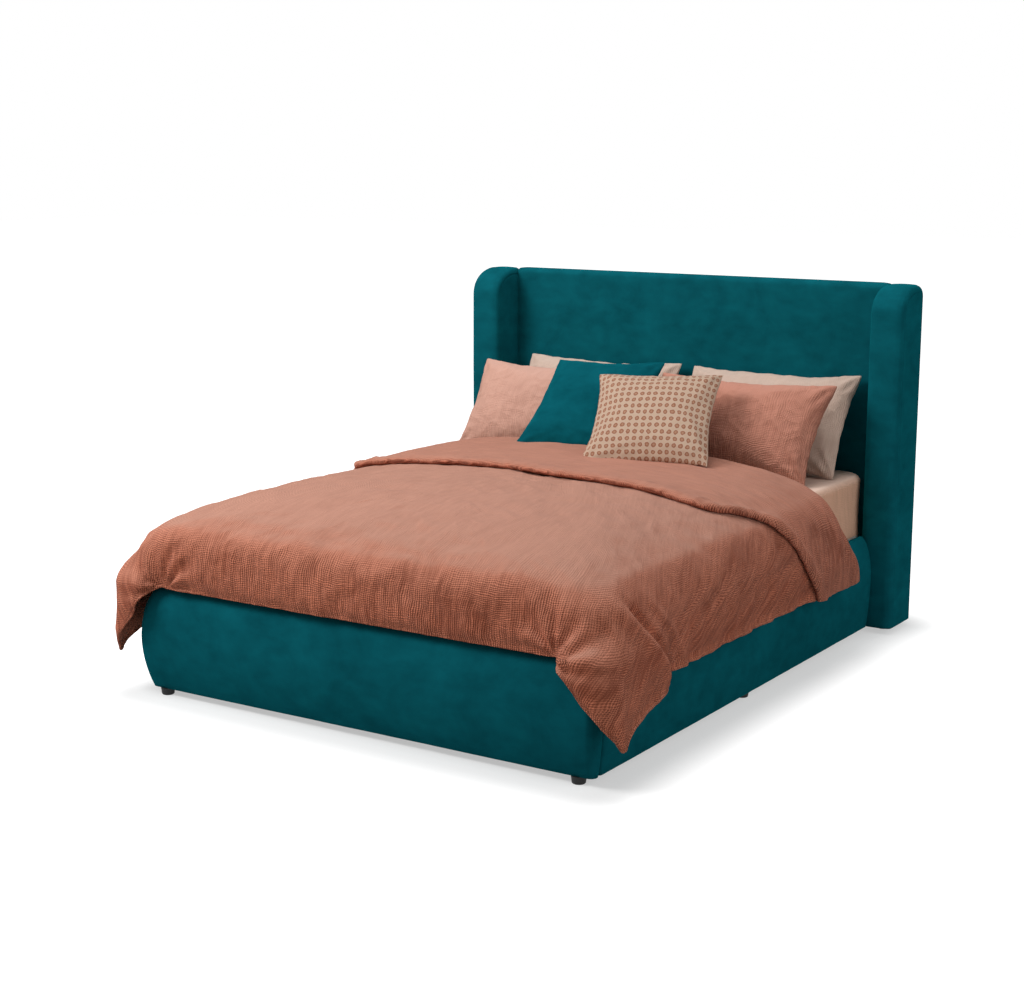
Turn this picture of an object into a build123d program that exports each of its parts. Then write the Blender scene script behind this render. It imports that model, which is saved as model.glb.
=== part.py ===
from build123d import *
import os
from math import cos, radians, sin, sqrt

os.makedirs("parts", exist_ok=True)

# An upholstered wingback bed, in millimetres. X runs to the bed's right seen from the foot,
# Y from foot to head and Z up. The origin is on the floor, under the middle of the whole bed.

# The mattress and the well that takes it
mattress_width = 1480
mattress_length = 1980
mattress_height = 250
mattress_corner = 100
mattress_edge = 24
mattress_sink = 45
side_gap = 15
foot_gap = 5
head_gap = 30
sheet_thickness = 1.5
sheet_hem_rise = 12

# The padded base
floor_gap = 22
rail_top = 345
widest_height = 188
rail_thickness = 56
foot_thickness = 75
side_tuck = 13
foot_tuck = 38
side_roll = 46
foot_roll = 50
foot_corner = 20
board_thickness = 22
board_cover = 18

# The headboard and its wings
headboard_height = 1217
wing_step = 7.5
wing_thickness = 120
wing_depth = 145
wing_sweep = 130
wing_drop = 100
wing_back_radius = 45
wing_softness = 16
wing_padding = 25
wing_back_padding = 12
panel_thickness = 63
panel_foam = 33
panel_softness = 22
panel_bottom = 120
panel_top_roll = 30
back_cloth = 2
post_width = 45
top_member = 45
middle_member = 70
bottom_member = 70
middle_height = 690

# How far the duvet's corners stand in front of the foot panel
drape_proud = 50

# Places worked out from these sizes
well_half = mattress_width / 2 + side_gap
base_half = well_half + rail_thickness
frame_length = foot_thickness + foot_gap + mattress_length + head_gap + panel_thickness
foot_front = (drape_proud - frame_length) / 2
foot_back = foot_front + foot_thickness
mattress_foot = foot_back + foot_gap
mattress_head = mattress_foot + mattress_length
panel_front = mattress_head + head_gap
headboard_back = panel_front + panel_thickness
wing_front = panel_front - wing_depth
wing_inner = well_half + wing_step
wing_outer = wing_inner + wing_thickness
mattress_base = rail_top - mattress_sink
mattress_top = mattress_base + mattress_height
board_top = rail_top - board_cover
side_length = wing_front - foot_back

# Steel fittings that join the rails
bracket_steel = 4
bracket_leg = 60
bracket_height = 120
bracket_low = 110
tongue_length = 12
tongue_height = 24
bolt_radius = 4
bolt_head_flats = 13
bolt_head_height = 5.3
bolt_length = 24
bolt_rows_shares = (0.22, 0.78)
bolt_column_share = 0.62
wing_bolt_bite = 24
wing_bolts_shares = (0.21, 0.51, 0.84)

# Slats and what carries them
slat_count = 12
slat_width = 90
slat_thickness = 20
slat_end_gap = 3
slat_edge = 4
slat_end_margin = 30
ledge_size = 30
webbing_width = 40
webbing_thickness = 1.2
webbing_share = 0.52
head_rail_low = 140
rail_tube_width = 40
rail_tube_height = 40
rail_tube_wall = 2
rail_tube_corner = 4
shoe_steel = 3
shoe_length = 50
leg_count = 2
leg_radius = 16
leg_plate_length = 80
leg_plate_thickness = 3
leg_pad_radius = 24
leg_pad_height = 8
leg_stem_radius = 6
leg_stem_height = 18
leg_edge = 2

# Feet under the base and the wings
foot_radius = 22
foot_taper = 3
foot_edge = 2
foot_end_inset = 66

slat_top = mattress_base
ledge_top = slat_top - slat_thickness
head_rail_front = panel_front - board_thickness

# The least space left between two pieces that part
fit_gap = 0.5


def bulge_inset(height, top_inset, bottom_inset):
    """How far a padded face stands back from its widest line at a height."""
    if height >= widest_height:
        share = (height - widest_height) / (rail_top - widest_height)
        return top_inset * (1 - sqrt(max(0, 1 - share**2)))
    share = (widest_height - height) / (widest_height - floor_gap)
    return bottom_inset * share**2


# The foot board, of birch ply, lies flush with the inside and bottom of its padding
with BuildPart() as foot_board:
    with BuildSketch(Plane.XY.offset(floor_gap)):
        with Locations((0, foot_back - board_thickness / 2)):
            Rectangle(2 * (well_half + board_thickness), board_thickness)
    extrude(amount=board_top - floor_gap)

# The side boards butt against the back of the foot board
with BuildPart() as side_board_right:
    with BuildSketch(Plane.XY.offset(floor_gap)):
        with Locations((well_half + board_thickness / 2, foot_back + side_length / 2)):
            Rectangle(board_thickness, side_length)
    extrude(amount=board_top - floor_gap)

# Steel angles join the boards at the foot
with BuildPart() as foot_bracket_right:
    with BuildSketch(Plane.XY.offset(bracket_low)):
        with BuildLine():
            Polyline(
                (well_half, foot_back),
                (well_half, foot_back + bracket_leg),
                (well_half - bracket_steel, foot_back + bracket_leg),
                (well_half - bracket_steel, foot_back + bracket_steel),
                (well_half - bracket_leg, foot_back + bracket_steel),
                (well_half - bracket_leg, foot_back),
                close=True,
            )
        make_face()
    extrude(amount=bracket_height)

# Hooked plates join the rails' head ends to the wings: the tongues catch in the wing
with BuildPart() as wing_bracket_right:
    with BuildSketch(Plane.XY.offset(bracket_low)):
        with BuildLine():
            Polyline(
                (well_half - bracket_steel, wing_front - bracket_leg),
                (well_half, wing_front - bracket_leg),
                (well_half, wing_front - bracket_steel),
                (well_half + board_thickness, wing_front - bracket_steel),
                (well_half + board_thickness, wing_front),
                (well_half - bracket_steel, wing_front),
                close=True,
            )
        make_face()
    extrude(amount=bracket_height)
    for row_share in bolt_rows_shares:
        with BuildSketch(Plane.XZ.offset(-wing_front)):
            with Locations((well_half + board_thickness / 2 + bracket_steel / 2,
                            bracket_low + row_share * bracket_height)):
                Rectangle(bracket_steel, tongue_height)
        extrude(amount=-tongue_length)


def bolt(seat, length):
    """A hexagon bolt: its head stands on the seat's plane and its shank goes down from it."""
    with BuildPart() as one_bolt:
        with BuildSketch(seat):
            RegularPolygon(radius=bolt_head_flats / 2, side_count=6, major_radius=False)
        extrude(amount=bolt_head_height)
        with BuildSketch(seat):
            Circle(bolt_radius)
        extrude(amount=-length)
    return one_bolt.part


# Bolts through the brackets into the boards, two to a leg
with BuildPart() as bracket_bolts:
    for side in (-1, 1):
        for row_share in bolt_rows_shares:
            row = bracket_low + row_share * bracket_height
            reach = bolt_column_share * bracket_leg
            inner = side * (well_half - bracket_steel)
            for along in (foot_back + reach, wing_front - reach):
                add(bolt(Plane((inner, along, row), (0, 1, 0), (-side, 0, 0)), bolt_length))
            across = (side * (well_half - reach), foot_back + bracket_steel, row)
            add(bolt(Plane(across, (1, 0, 0), (0, 1, 0)), bolt_length))
bracket_bolts.part.label = "bracket_bolts"
export_step(bracket_bolts.part, "parts/bracket_bolts.step")

for bracket in (foot_bracket_right, wing_bracket_right, foot_board, side_board_right):
    with bracket:
        add(bracket_bolts.part, mode=Mode.SUBTRACT)
with side_board_right:
    add(wing_bracket_right.part, mode=Mode.SUBTRACT)

foot_board.part.label = "foot_board"
export_step(foot_board.part, "parts/foot_board.step")
side_board_right.part.label = "side_board_right"
export_step(side_board_right.part, "parts/side_board_right.step")
with BuildPart() as side_board_left:
    mirror(side_board_right.part, about=Plane.YZ)
side_board_left.part.label = "side_board_left"
export_step(side_board_left.part, "parts/side_board_left.step")

foot_bracket_right.part.label = "foot_bracket_right"
export_step(foot_bracket_right.part, "parts/foot_bracket_right.step")
with BuildPart() as foot_bracket_left:
    mirror(foot_bracket_right.part, about=Plane.YZ)
foot_bracket_left.part.label = "foot_bracket_left"
export_step(foot_bracket_left.part, "parts/foot_bracket_left.step")
wing_bracket_right.part.label = "wing_bracket_right"
export_step(wing_bracket_right.part, "parts/wing_bracket_right.step")
with BuildPart() as wing_bracket_left:
    mirror(wing_bracket_right.part, about=Plane.YZ)
wing_bracket_left.part.label = "wing_bracket_left"
export_step(wing_bracket_left.part, "parts/wing_bracket_left.step")

# The foot panel's padding: its front and both ends swell out, widest at half height
swell_shares = (-1, -0.66, -0.33, 0, 0.35, 0.6, 0.8, 0.93, 1)
with BuildPart() as foot_cover:
    for share in swell_shares:
        if share < 0:
            height = widest_height + share * (widest_height - floor_gap)
        else:
            height = widest_height + share * (rail_top - widest_height)
        half = base_half - bulge_inset(height, side_roll, side_tuck)
        front = foot_front + bulge_inset(height, foot_roll, foot_tuck)
        with BuildSketch(Plane.XY.offset(height)) as swell:
            with Locations((0, (front + foot_back) / 2)):
                Rectangle(2 * half, foot_back - front)
            fillet(swell.vertices().group_by(Axis.Y)[0], foot_corner)
    loft()
    add(foot_board.part, mode=Mode.SUBTRACT)
    add(bracket_bolts.part, mode=Mode.SUBTRACT)
foot_cover.part.label = "foot_cover"
export_step(foot_cover.part, "parts/foot_cover.step")

# The side rails' padding: the same swelling, drawn out along the rail
with BuildPart() as side_cover_right:
    with BuildSketch(Plane.XZ.offset(-foot_back)):
        with BuildLine():
            tucked = (base_half - side_tuck, floor_gap)
            halfway = (base_half - side_tuck / 4, (floor_gap + widest_height) / 2)
            Polyline((well_half, rail_top), (well_half, floor_gap), tucked)
            ThreePointArc(tucked, halfway, (base_half, widest_height))
            roll = EllipticalCenterArc(
                (base_half - side_roll, widest_height), side_roll, rail_top - widest_height,
                start_angle=0, arc_size=90,
            )
            Line(roll @ 1, (well_half, rail_top))
        make_face()
    extrude(amount=-side_length)
    with BuildSketch(Plane.XY.offset(floor_gap)):
        with Locations((well_half + board_thickness / 2, foot_back + side_length / 2)):
            Rectangle(board_thickness, side_length)
    extrude(amount=board_top - floor_gap, mode=Mode.SUBTRACT)
side_cover_right.part.label = "side_cover_right"
export_step(side_cover_right.part, "parts/side_cover_right.step")
with BuildPart() as side_cover_left:
    mirror(side_cover_right.part, about=Plane.YZ)
side_cover_left.part.label = "side_cover_left"
export_step(side_cover_left.part, "parts/side_cover_left.step")


def wing_outline(front_inset, back_inset, back_radius):
    """A wing's side outline: an upright front that sweeps back into the level top."""
    top = headboard_height - front_inset
    front = wing_front + front_inset
    back = headboard_back - back_inset
    with BuildSketch(Plane.YZ) as outline:
        with BuildLine():
            sweep_centre = (wing_front + wing_sweep, headboard_height - wing_drop)
            brow = EllipticalCenterArc(
                sweep_centre, wing_sweep - front_inset, wing_drop - front_inset,
                start_angle=90, arc_size=90,
            )
            crown = (back - back_radius, top)
            Line(brow @ 0, crown)
            nape = JernArc(crown, (1, 0), back_radius, -90)
            Polyline(nape @ 1, (back, floor_gap), (front, floor_gap), brow @ 1)
        make_face()
    return outline.sketch


# The wing's timber box, bolted to the headboard's post
with BuildPart() as wing_blank:
    extrude(wing_outline(wing_padding, wing_back_padding, wing_back_radius - wing_back_padding),
            amount=wing_thickness - 2 * wing_padding)
wing_blank_place = Location((wing_inner + wing_padding, 0, 0))
post_inner = wing_inner - post_width
post_middle = panel_front + panel_foam + (panel_thickness - panel_foam - back_cloth) / 2
wing_bolt_length = post_width + wing_padding + wing_bolt_bite

# Bolts that hold the wings to the headboard's posts
with BuildPart() as wing_bolts:
    for side in (-1, 1):
        for height_share in wing_bolts_shares:
            seat = (side * post_inner, post_middle, height_share * headboard_height)
            add(bolt(Plane(seat, (0, 1, 0), (-side, 0, 0)), wing_bolt_length))
wing_bolts.part.label = "wing_bolts"
export_step(wing_bolts.part, "parts/wing_bolts.step")

with BuildPart() as wing_box_right:
    add(wing_blank.part.moved(wing_blank_place))
    add(wing_bolts.part, mode=Mode.SUBTRACT)
wing_box_right.part.label = "wing_box_right"
export_step(wing_box_right.part, "parts/wing_box_right.step")
with BuildPart() as wing_box_left:
    mirror(wing_box_right.part, about=Plane.YZ)
wing_box_left.part.label = "wing_box_left"
export_step(wing_box_left.part, "parts/wing_box_left.step")

# The wing's padding: thick foam with softened edges over the timber box, open underneath
with BuildPart() as wing_cover_right:
    extrude(wing_outline(0, 0, wing_back_radius).moved(Location((wing_inner, 0, 0))),
            amount=wing_thickness)
    rims = wing_cover_right.faces().filter_by(Axis.X).edges()
    fillet([rim for rim in rims if rim.center().Z > floor_gap + fit_gap], wing_softness)
    add(wing_blank.part.moved(wing_blank_place), mode=Mode.SUBTRACT)
    add(wing_bolts.part, mode=Mode.SUBTRACT)
    add(wing_bracket_right.part, mode=Mode.SUBTRACT)
wing_cover_right.part.label = "wing_cover_right"
export_step(wing_cover_right.part, "parts/wing_cover_right.step")
with BuildPart() as wing_cover_left:
    mirror(wing_cover_right.part, about=Plane.YZ)
wing_cover_left.part.label = "wing_cover_left"
export_step(wing_cover_left.part, "parts/wing_cover_left.step")

# The headboard's timber frame: two posts and three members between them
frame_front = panel_front + panel_foam
frame_back = headboard_back - back_cloth
frame_top = headboard_height - panel_top_roll
with BuildPart() as post_right:
    with BuildSketch(Plane.XY.offset(panel_bottom)):
        with Locations((wing_inner - post_width / 2, (frame_front + frame_back) / 2)):
            Rectangle(post_width, frame_back - frame_front)
    extrude(amount=frame_top - panel_bottom)
    add(wing_bolts.part, mode=Mode.SUBTRACT)
post_right.part.label = "headboard_post_right"
export_step(post_right.part, "parts/headboard_post_right.step")
with BuildPart() as post_left:
    mirror(post_right.part, about=Plane.YZ)
post_left.part.label = "headboard_post_left"
export_step(post_left.part, "parts/headboard_post_left.step")

members = {
    "headboard_top_rail": (frame_top - top_member, top_member),
    "headboard_middle_rail": (middle_height - middle_member / 2, middle_member),
    "headboard_bottom_rail": (panel_bottom, bottom_member),
}
for member_name, (member_low, member_height) in members.items():
    with BuildPart() as member:
        with BuildSketch(Plane.XY.offset(member_low)):
            with Locations((0, (frame_front + frame_back) / 2)):
                Rectangle(2 * post_inner, frame_back - frame_front)
        extrude(amount=member_height)
    member.part.label = member_name
    export_step(member.part, f"parts/{member_name}.step")

# The headboard's padding rolls over the top of the frame
with BuildPart() as headboard_cover:
    with BuildSketch(Plane.YZ.offset(-wing_inner)) as roll_over:
        with BuildLine():
            Polyline(
                (panel_front, panel_bottom),
                (panel_front, headboard_height),
                (headboard_back, headboard_height),
                (headboard_back, frame_top),
                (frame_front, frame_top),
                (frame_front, panel_bottom),
                close=True,
            )
        make_face()
        fillet(roll_over.vertices().group_by(Axis.Y)[-1].sort_by(Axis.X)[:1], panel_softness)
        fillet(roll_over.vertices().group_by(Axis.Y)[-1].sort_by(Axis.X)[-1:], panel_softness)
    extrude(amount=2 * wing_inner)
headboard_cover.part.label = "headboard_cover"
export_step(headboard_cover.part, "parts/headboard_cover.step")

# A thin lining closes the back of the frame
with BuildPart() as back_lining:
    with BuildSketch(Plane.XY.offset(panel_bottom)):
        with Locations((0, headboard_back - back_cloth / 2)):
            Rectangle(2 * wing_inner, back_cloth)
    extrude(amount=frame_top - panel_bottom)
back_lining.part.label = "headboard_back_lining"
export_step(back_lining.part, "parts/headboard_back_lining.step")

# The head rail closes the base between the wings, under the mattress
with BuildPart() as head_rail:
    with BuildSketch(Plane.XY.offset(head_rail_low)):
        with Locations((0, panel_front - board_thickness / 2)):
            Rectangle(2 * wing_inner, board_thickness)
    extrude(amount=mattress_base - head_rail_low)
head_rail.part.label = "head_rail"
export_step(head_rail.part, "parts/head_rail.step")

# Ledges along the side boards carry the slats' ends
ledge_length = head_rail_front - foot_back
with BuildPart() as ledge_right:
    with BuildSketch(Plane.XY.offset(ledge_top - ledge_size)):
        with Locations((well_half - ledge_size / 2, foot_back + ledge_length / 2)):
            Rectangle(ledge_size, ledge_length)
    extrude(amount=ledge_size)
ledge_right.part.label = "slat_ledge_right"
export_step(ledge_right.part, "parts/slat_ledge_right.step")
with BuildPart() as ledge_left:
    mirror(ledge_right.part, about=Plane.YZ)
ledge_left.part.label = "slat_ledge_left"
export_step(ledge_left.part, "parts/slat_ledge_left.step")

# The steel centre rail runs from the foot board to the head rail, seated in two shoes
rail_start = foot_back + shoe_steel
rail_end = head_rail_front - shoe_steel
tube_low = ledge_top - rail_tube_height
with BuildPart() as centre_rail:
    with BuildSketch(Plane.XZ.offset(-rail_start)):
        with Locations((0, ledge_top - rail_tube_height / 2)):
            RectangleRounded(rail_tube_width, rail_tube_height, rail_tube_corner)
            RectangleRounded(
                rail_tube_width - 2 * rail_tube_wall,
                rail_tube_height - 2 * rail_tube_wall,
                rail_tube_corner - rail_tube_wall,
                mode=Mode.SUBTRACT,
            )
    extrude(amount=-(rail_end - rail_start))
centre_rail.part.label = "centre_rail"
export_step(centre_rail.part, "parts/centre_rail.step")

for end_name, end_plane, inward in (
    ("centre_shoe_foot", foot_back, 1),
    ("centre_shoe_head", head_rail_front, -1),
):
    shoe_half = rail_tube_width / 2 + shoe_steel
    with BuildPart() as shoe:
        with BuildSketch(Plane.XZ.offset(-end_plane)):
            with Locations((0, ledge_top - (rail_tube_height + shoe_steel) / 2)):
                Rectangle(2 * shoe_half, rail_tube_height + shoe_steel)
        extrude(amount=-inward * shoe_length)
        with BuildSketch(Plane.XZ.offset(-(end_plane + inward * shoe_steel))):
            with Locations((0, ledge_top - rail_tube_height / 2)):
                Rectangle(rail_tube_width, rail_tube_height)
        extrude(amount=-inward * shoe_length, mode=Mode.SUBTRACT)
    shoe.part.label = end_name
    export_step(shoe.part, f"parts/{end_name}.step")

# Turned centre legs with a flat top plate and a levelling pad
leg_pitch = (rail_end - rail_start) / (leg_count + 1)
for leg_index in range(leg_count):
    leg_place = (0, rail_start + (leg_index + 1) * leg_pitch, 0)
    leg_top = tube_low - leg_plate_thickness
    with BuildPart() as centre_leg:
        with BuildSketch(Plane(leg_place, (1, 0, 0), (0, -1, 0))):
            with BuildLine():
                Polyline(
                    (0, 0),
                    (leg_pad_radius, 0),
                    (leg_pad_radius, leg_pad_height),
                    (leg_stem_radius, leg_pad_height),
                    (leg_stem_radius, leg_pad_height + leg_stem_height),
                    (leg_radius, leg_pad_height + leg_stem_height),
                    (leg_radius, leg_top),
                    (0, leg_top),
                    close=True,
                )
            make_face()
        revolve(axis=Axis(leg_place, (0, 0, 1)))
        chamfer(centre_leg.edges().filter_by(GeomType.CIRCLE).group_by(Axis.Z)[0], leg_edge)
        with BuildSketch(Plane(leg_place, (1, 0, 0), (0, 0, 1)).offset(leg_top)):
            RectangleRounded(rail_tube_width, leg_plate_length, rail_tube_corner)
        extrude(amount=leg_plate_thickness)
    leg_name = f"centre_leg_{leg_index + 1}"
    centre_leg.part.label = leg_name
    export_step(centre_leg.part, f"parts/{leg_name}.step")

# Pine slats lie across the ledges and the centre rail
slat_length = 2 * (well_half - slat_end_gap)
slat_first = foot_back + slat_end_margin + slat_width / 2
slat_last = head_rail_front - slat_end_margin - slat_width / 2
slat_pitch = (slat_last - slat_first) / (slat_count - 1)
for slat_index in range(slat_count):
    with BuildPart() as slat:
        with BuildSketch(Plane.YZ.offset(-slat_length / 2)):
            with Locations((slat_first + slat_index * slat_pitch, slat_top - slat_thickness / 2)):
                RectangleRounded(slat_width, slat_thickness, slat_edge)
        extrude(amount=slat_length)
    slat_name = f"slat_{slat_index + 1:02d}"
    slat.part.label = slat_name
    export_step(slat.part, f"parts/{slat_name}.step")

# Webbing straps under the slats keep their spacing
webbing_place = webbing_share * well_half
webbing_length = slat_last - slat_first + slat_width
for strap_name, strap_place in (("webbing_left", -webbing_place), ("webbing_right", webbing_place)):
    with BuildPart() as webbing:
        with BuildSketch(Plane.XY.offset(ledge_top - webbing_thickness)):
            with Locations((strap_place, (slat_first + slat_last) / 2)):
                Rectangle(webbing_width, webbing_length)
        extrude(amount=webbing_thickness)
    webbing.part.label = strap_name
    export_step(webbing.part, f"parts/{strap_name}.step")

# Tapered feet under the foot board, the side boards and the wings
foot_across = base_half - foot_end_inset
side_foot_across = well_half + board_thickness / 2
wing_foot_across = wing_inner + wing_thickness / 2
feet = {
    "foot_front": (foot_across, foot_back - foot_radius),
    "foot_side": (side_foot_across, foot_back + side_length / 2),
    "foot_wing": (wing_foot_across, wing_front + wing_depth / 2 + foot_radius),
}
for foot_name, (across, along) in feet.items():
    for side_name, side in (("left", -1), ("right", 1)):
        with BuildPart() as foot:
            with BuildSketch() as foot_base:
                with Locations((side * across, along)):
                    Circle(foot_radius - foot_taper)
            with BuildSketch(Plane.XY.offset(floor_gap)):
                with Locations((side * across, along)):
                    Circle(foot_radius)
            loft()
            chamfer(foot.edges().group_by(Axis.Z)[0], foot_edge)
        foot.part.label = f"{foot_name}_{side_name}"
        export_step(foot.part, f"parts/{foot_name}_{side_name}.step")


def padded_block(grow):
    """The mattress's rounded block, grown all over, with its underside left in place."""
    with BuildPart() as block:
        with BuildSketch(Plane.XY.offset(mattress_base)):
            with Locations((0, (mattress_foot + mattress_head) / 2)):
                RectangleRounded(
                    mattress_width + 2 * grow, mattress_length + 2 * grow, mattress_corner + grow
                )
        extrude(amount=mattress_height + grow)
        fillet(block.edges().group_by(Axis.Z)[-1], mattress_edge + grow)
        fillet(block.edges().group_by(Axis.Z)[0], mattress_edge)
    return block.part


# The mattress lies on the slats
with BuildPart() as mattress:
    add(padded_block(0))
mattress.part.label = "mattress"
export_step(mattress.part, "parts/mattress.step")

# The fitted sheet hugs the mattress and turns in near its underside
with BuildPart() as fitted_sheet:
    add(padded_block(sheet_thickness))
    sheet_hem = Plane.XY.offset(mattress_base + mattress_edge + sheet_hem_rise)
    split(bisect_by=sheet_hem, keep=Keep.TOP)
    add(mattress.part, mode=Mode.SUBTRACT)
fitted_sheet.part.label = "fitted_sheet"
export_step(fitted_sheet.part, "parts/fitted_sheet.step")

# The duvet. Its sections are cut level; at each share of its height its half width, its foot
# edge, its head edge, the radius of its foot corners and the swing of its side folds follow.
duvet_length = 1705
duvet_hem = 250
duvet_crown = 80
duvet_stand = 51
duvet_lift = 7
duvet_clearance = 2
duvet_slack = 12
fold_count = 6
fold_depth = 13
duvet_levels_shares = (0, 0.20, 0.42, 0.62, 0.755, 0.85, 0.905, 0.945, 0.97, 0.987, 1)
duvet_widths_shares = (0.985, 1, 0.99, 0.965, 0.925, 0.84, 0.765, 0.68, 0.59, 0.50, 0.40)
duvet_foots_shares = (0.012, 0.005, 0.004, 0.010, 0.027, 0.065, 0.11, 0.16, 0.21, 0.265, 0.32)
duvet_heads_shares = (1, 0.955, 0.915, 0.892, 0.885, 0.885, 0.882, 0.878, 0.874, 0.87, 0.865)
duvet_rounds_shares = (0.06, 0.07, 0.10, 0.15, 0.22, 0.31, 0.39, 0.46, 0.53, 0.60, 0.66)
fold_swings_shares = (1, 0.9, 0.6, 0.35, 0.2, 0.14, 0.12, 0.1, 0.1, 0.1, 0.1)

# Its two foot corners hang in points round the corners of the base
point_low = 125
point_high = 430
point_length = 352
point_fold = 7
point_round_share = 0.3
point_levels_shares = (0, 0.115, 0.246, 0.41, 0.574, 0.744, 1)
point_inners_shares = (1.026, 1.007, 0.972, 0.925, 0.895, 0.84, 0.80)
point_outers_shares = (1.042, 1.042, 1.037, 1.0325, 1.028, 1.015, 0.98)
point_fronts_shares = (0.14, 0.54, 0.78, 0.88, 0.86, 0.70, 0)
point_backs_shares = (0.185, 0.554, 0.9, 0.98, 1, 0.99, 0.95)

duvet_half = base_half + duvet_stand
duvet_top = mattress_top + duvet_crown


def duvet_section(height, half, foot, head, corner, swing):
    """The duvet cut level: folded sides, round foot corners and a straight head edge."""
    side_foot = foot + corner
    pitch = (head - side_foot) / fold_count
    round_off = corner * (1 - sqrt(0.5))
    with BuildSketch(Plane.XY.offset(height)) as section:
        with BuildLine():
            for fold in range(fold_count):
                start = side_foot + fold * pitch
                reach = half + swing * (-1) ** fold
                ThreePointArc((half, start), (reach, start + pitch / 2), (half, start + pitch))
            Line((half, head), (-half, head))
            for fold in range(fold_count):
                start = head - fold * pitch
                reach = half - swing * (-1) ** fold
                ThreePointArc((-half, start), (-reach, start - pitch / 2), (-half, start - pitch))
            left_turn = (-half + round_off, foot + round_off)
            ThreePointArc((-half, side_foot), left_turn, (-half + corner, foot))
            Line((-half + corner, foot), (half - corner, foot))
            right_turn = (half - round_off, foot + round_off)
            ThreePointArc((half - corner, foot), right_turn, (half, side_foot))
        make_face()
    return section.sketch


def point_section(height, inner, outer, front, back):
    """A hanging point cut level: a round outer corner and one fold along its side."""
    corner = point_round_share * (outer - inner)
    round_off = corner * (1 - sqrt(0.5))
    side_foot = front + corner
    middle = (side_foot + back) / 2
    with BuildSketch(Plane.XY.offset(height)) as section:
        with BuildLine():
            Line((inner, back), (inner, front))
            billow = ((inner + outer - corner) / 2, front - point_fold / 2)
            ThreePointArc((inner, front), billow, (outer - corner, front))
            turn = (outer - round_off, front + round_off)
            ThreePointArc((outer - corner, front), turn, (outer, side_foot))
            fold_out = (outer + point_fold, (side_foot + middle) / 2)
            ThreePointArc((outer, side_foot), fold_out, (outer, middle))
            fold_in = (outer - point_fold, (middle + back) / 2)
            ThreePointArc((outer, middle), fold_in, (outer, back))
            Line((outer, back), (inner, back))
        make_face()
    return section.sketch


duvet_sections = [
    duvet_section(
        duvet_hem + level * (duvet_top - duvet_hem),
        width * duvet_half,
        foot_front + foot * duvet_length,
        foot_front + head * duvet_length,
        corner * width * duvet_half,
        swing * fold_depth,
    )
    for level, width, foot, head, corner, swing in zip(
        duvet_levels_shares, duvet_widths_shares, duvet_foots_shares,
        duvet_heads_shares, duvet_rounds_shares, fold_swings_shares,
    )
]
point_sections = [
    point_section(
        point_low + level * (point_high - point_low),
        inner * duvet_half,
        outer * duvet_half,
        foot_front - front * drape_proud,
        foot_front + back * point_length,
    )
    for level, inner, outer, front, back in zip(
        point_levels_shares, point_inners_shares, point_outers_shares,
        point_fronts_shares, point_backs_shares,
    )
]
with BuildPart() as hanging_point:
    loft(point_sections)

# The hollow under the duvet narrows from the base's width to the mattress's top
hollow_foot = mattress_foot - sheet_thickness - duvet_slack / 2
hollow_top = mattress_top + sheet_thickness + fit_gap
hollow_levels = (
    (rail_top + duvet_lift, base_half + duvet_clearance, mattress_corner / 2, 0),
    (hollow_top - mattress_edge, mattress_width / 2 + duvet_slack, mattress_corner, 0),
    (hollow_top, mattress_width / 2 - duvet_slack, mattress_corner - duvet_slack, duvet_slack),
)
with BuildPart() as duvet_hollow:
    for height, half, corner, inset in hollow_levels:
        with BuildSketch(Plane.XY.offset(height)):
            with Locations((0, hollow_foot + inset)):
                RectangleRounded(
                    2 * half, 2 * duvet_length, corner, align=(Align.CENTER, Align.MIN)
                )
    loft(ruled=True)
with BuildPart() as duvet:
    loft(duvet_sections)
    add(hanging_point.part)
    add(mirror(hanging_point.part, about=Plane.YZ, mode=Mode.PRIVATE))
    with BuildSketch(Plane.XY):
        with Locations((0, foot_front - duvet_clearance)):
            Rectangle(
                2 * (base_half + duvet_clearance), 2 * duvet_length,
                align=(Align.CENTER, Align.MIN),
            )
    extrude(amount=rail_top + duvet_lift, mode=Mode.SUBTRACT)
    add(duvet_hollow.part, mode=Mode.SUBTRACT)
duvet.part.label = "duvet"
export_step(duvet.part, "parts/duvet.step")

# Pillows and cushions. Each is two domes on one seam: at each level of the dome the corners
# and the middles of the sides have drawn in by these shares of half the cushion's height.
dome_levels_shares = (0, 0.33, 0.64, 0.87, 0.96, 1)
dome_corners_shares = (0, 0.17, 0.33, 0.55, 0.72, 0.90)
dome_sides_shares = (0.07, 0.10, 0.20, 0.42, 0.62, 0.85)

pillow_side_room = 65
pillow_width = well_half - pillow_side_room
pillow_lean = 34
pillow_bed_in = 4
back_pillow_height = 425
back_pillow_rise = 78
back_left_margin = 75
back_right_margin = 38
front_pillow_height = 410
front_pillow_rise = 88
front_left_margin = 0
front_right_margin = 58
pillow_head_gap = 28
cushion_size = 465
teal_rise = 62
teal_lean_angle = 50
teal_turn_angle = 4
teal_across = -110
teal_ahead = 226.4
dotted_rise = 56
dotted_lean_angle = 52
dotted_yaw_angle = 12
dotted_turn_angle = 4
dotted_across = 262
dotted_ahead = 355.4
cushion_rest = 3
soft_gap = 1


def leaning_plane(foot_point, lean, yaw, turn):
    """The seam plane of something that leans back: x across it, y up it, z out of its front."""
    lean_angle = radians(lean)
    yaw_angle = radians(yaw)
    across = Vector(cos(yaw_angle), sin(yaw_angle), 0)
    back = Vector(-sin(yaw_angle), cos(yaw_angle), 0)
    up = back * sin(lean_angle) + Vector(0, 0, 1) * cos(lean_angle)
    return Plane(foot_point, across, across.cross(up)).rotated((0, 0, turn))


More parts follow.
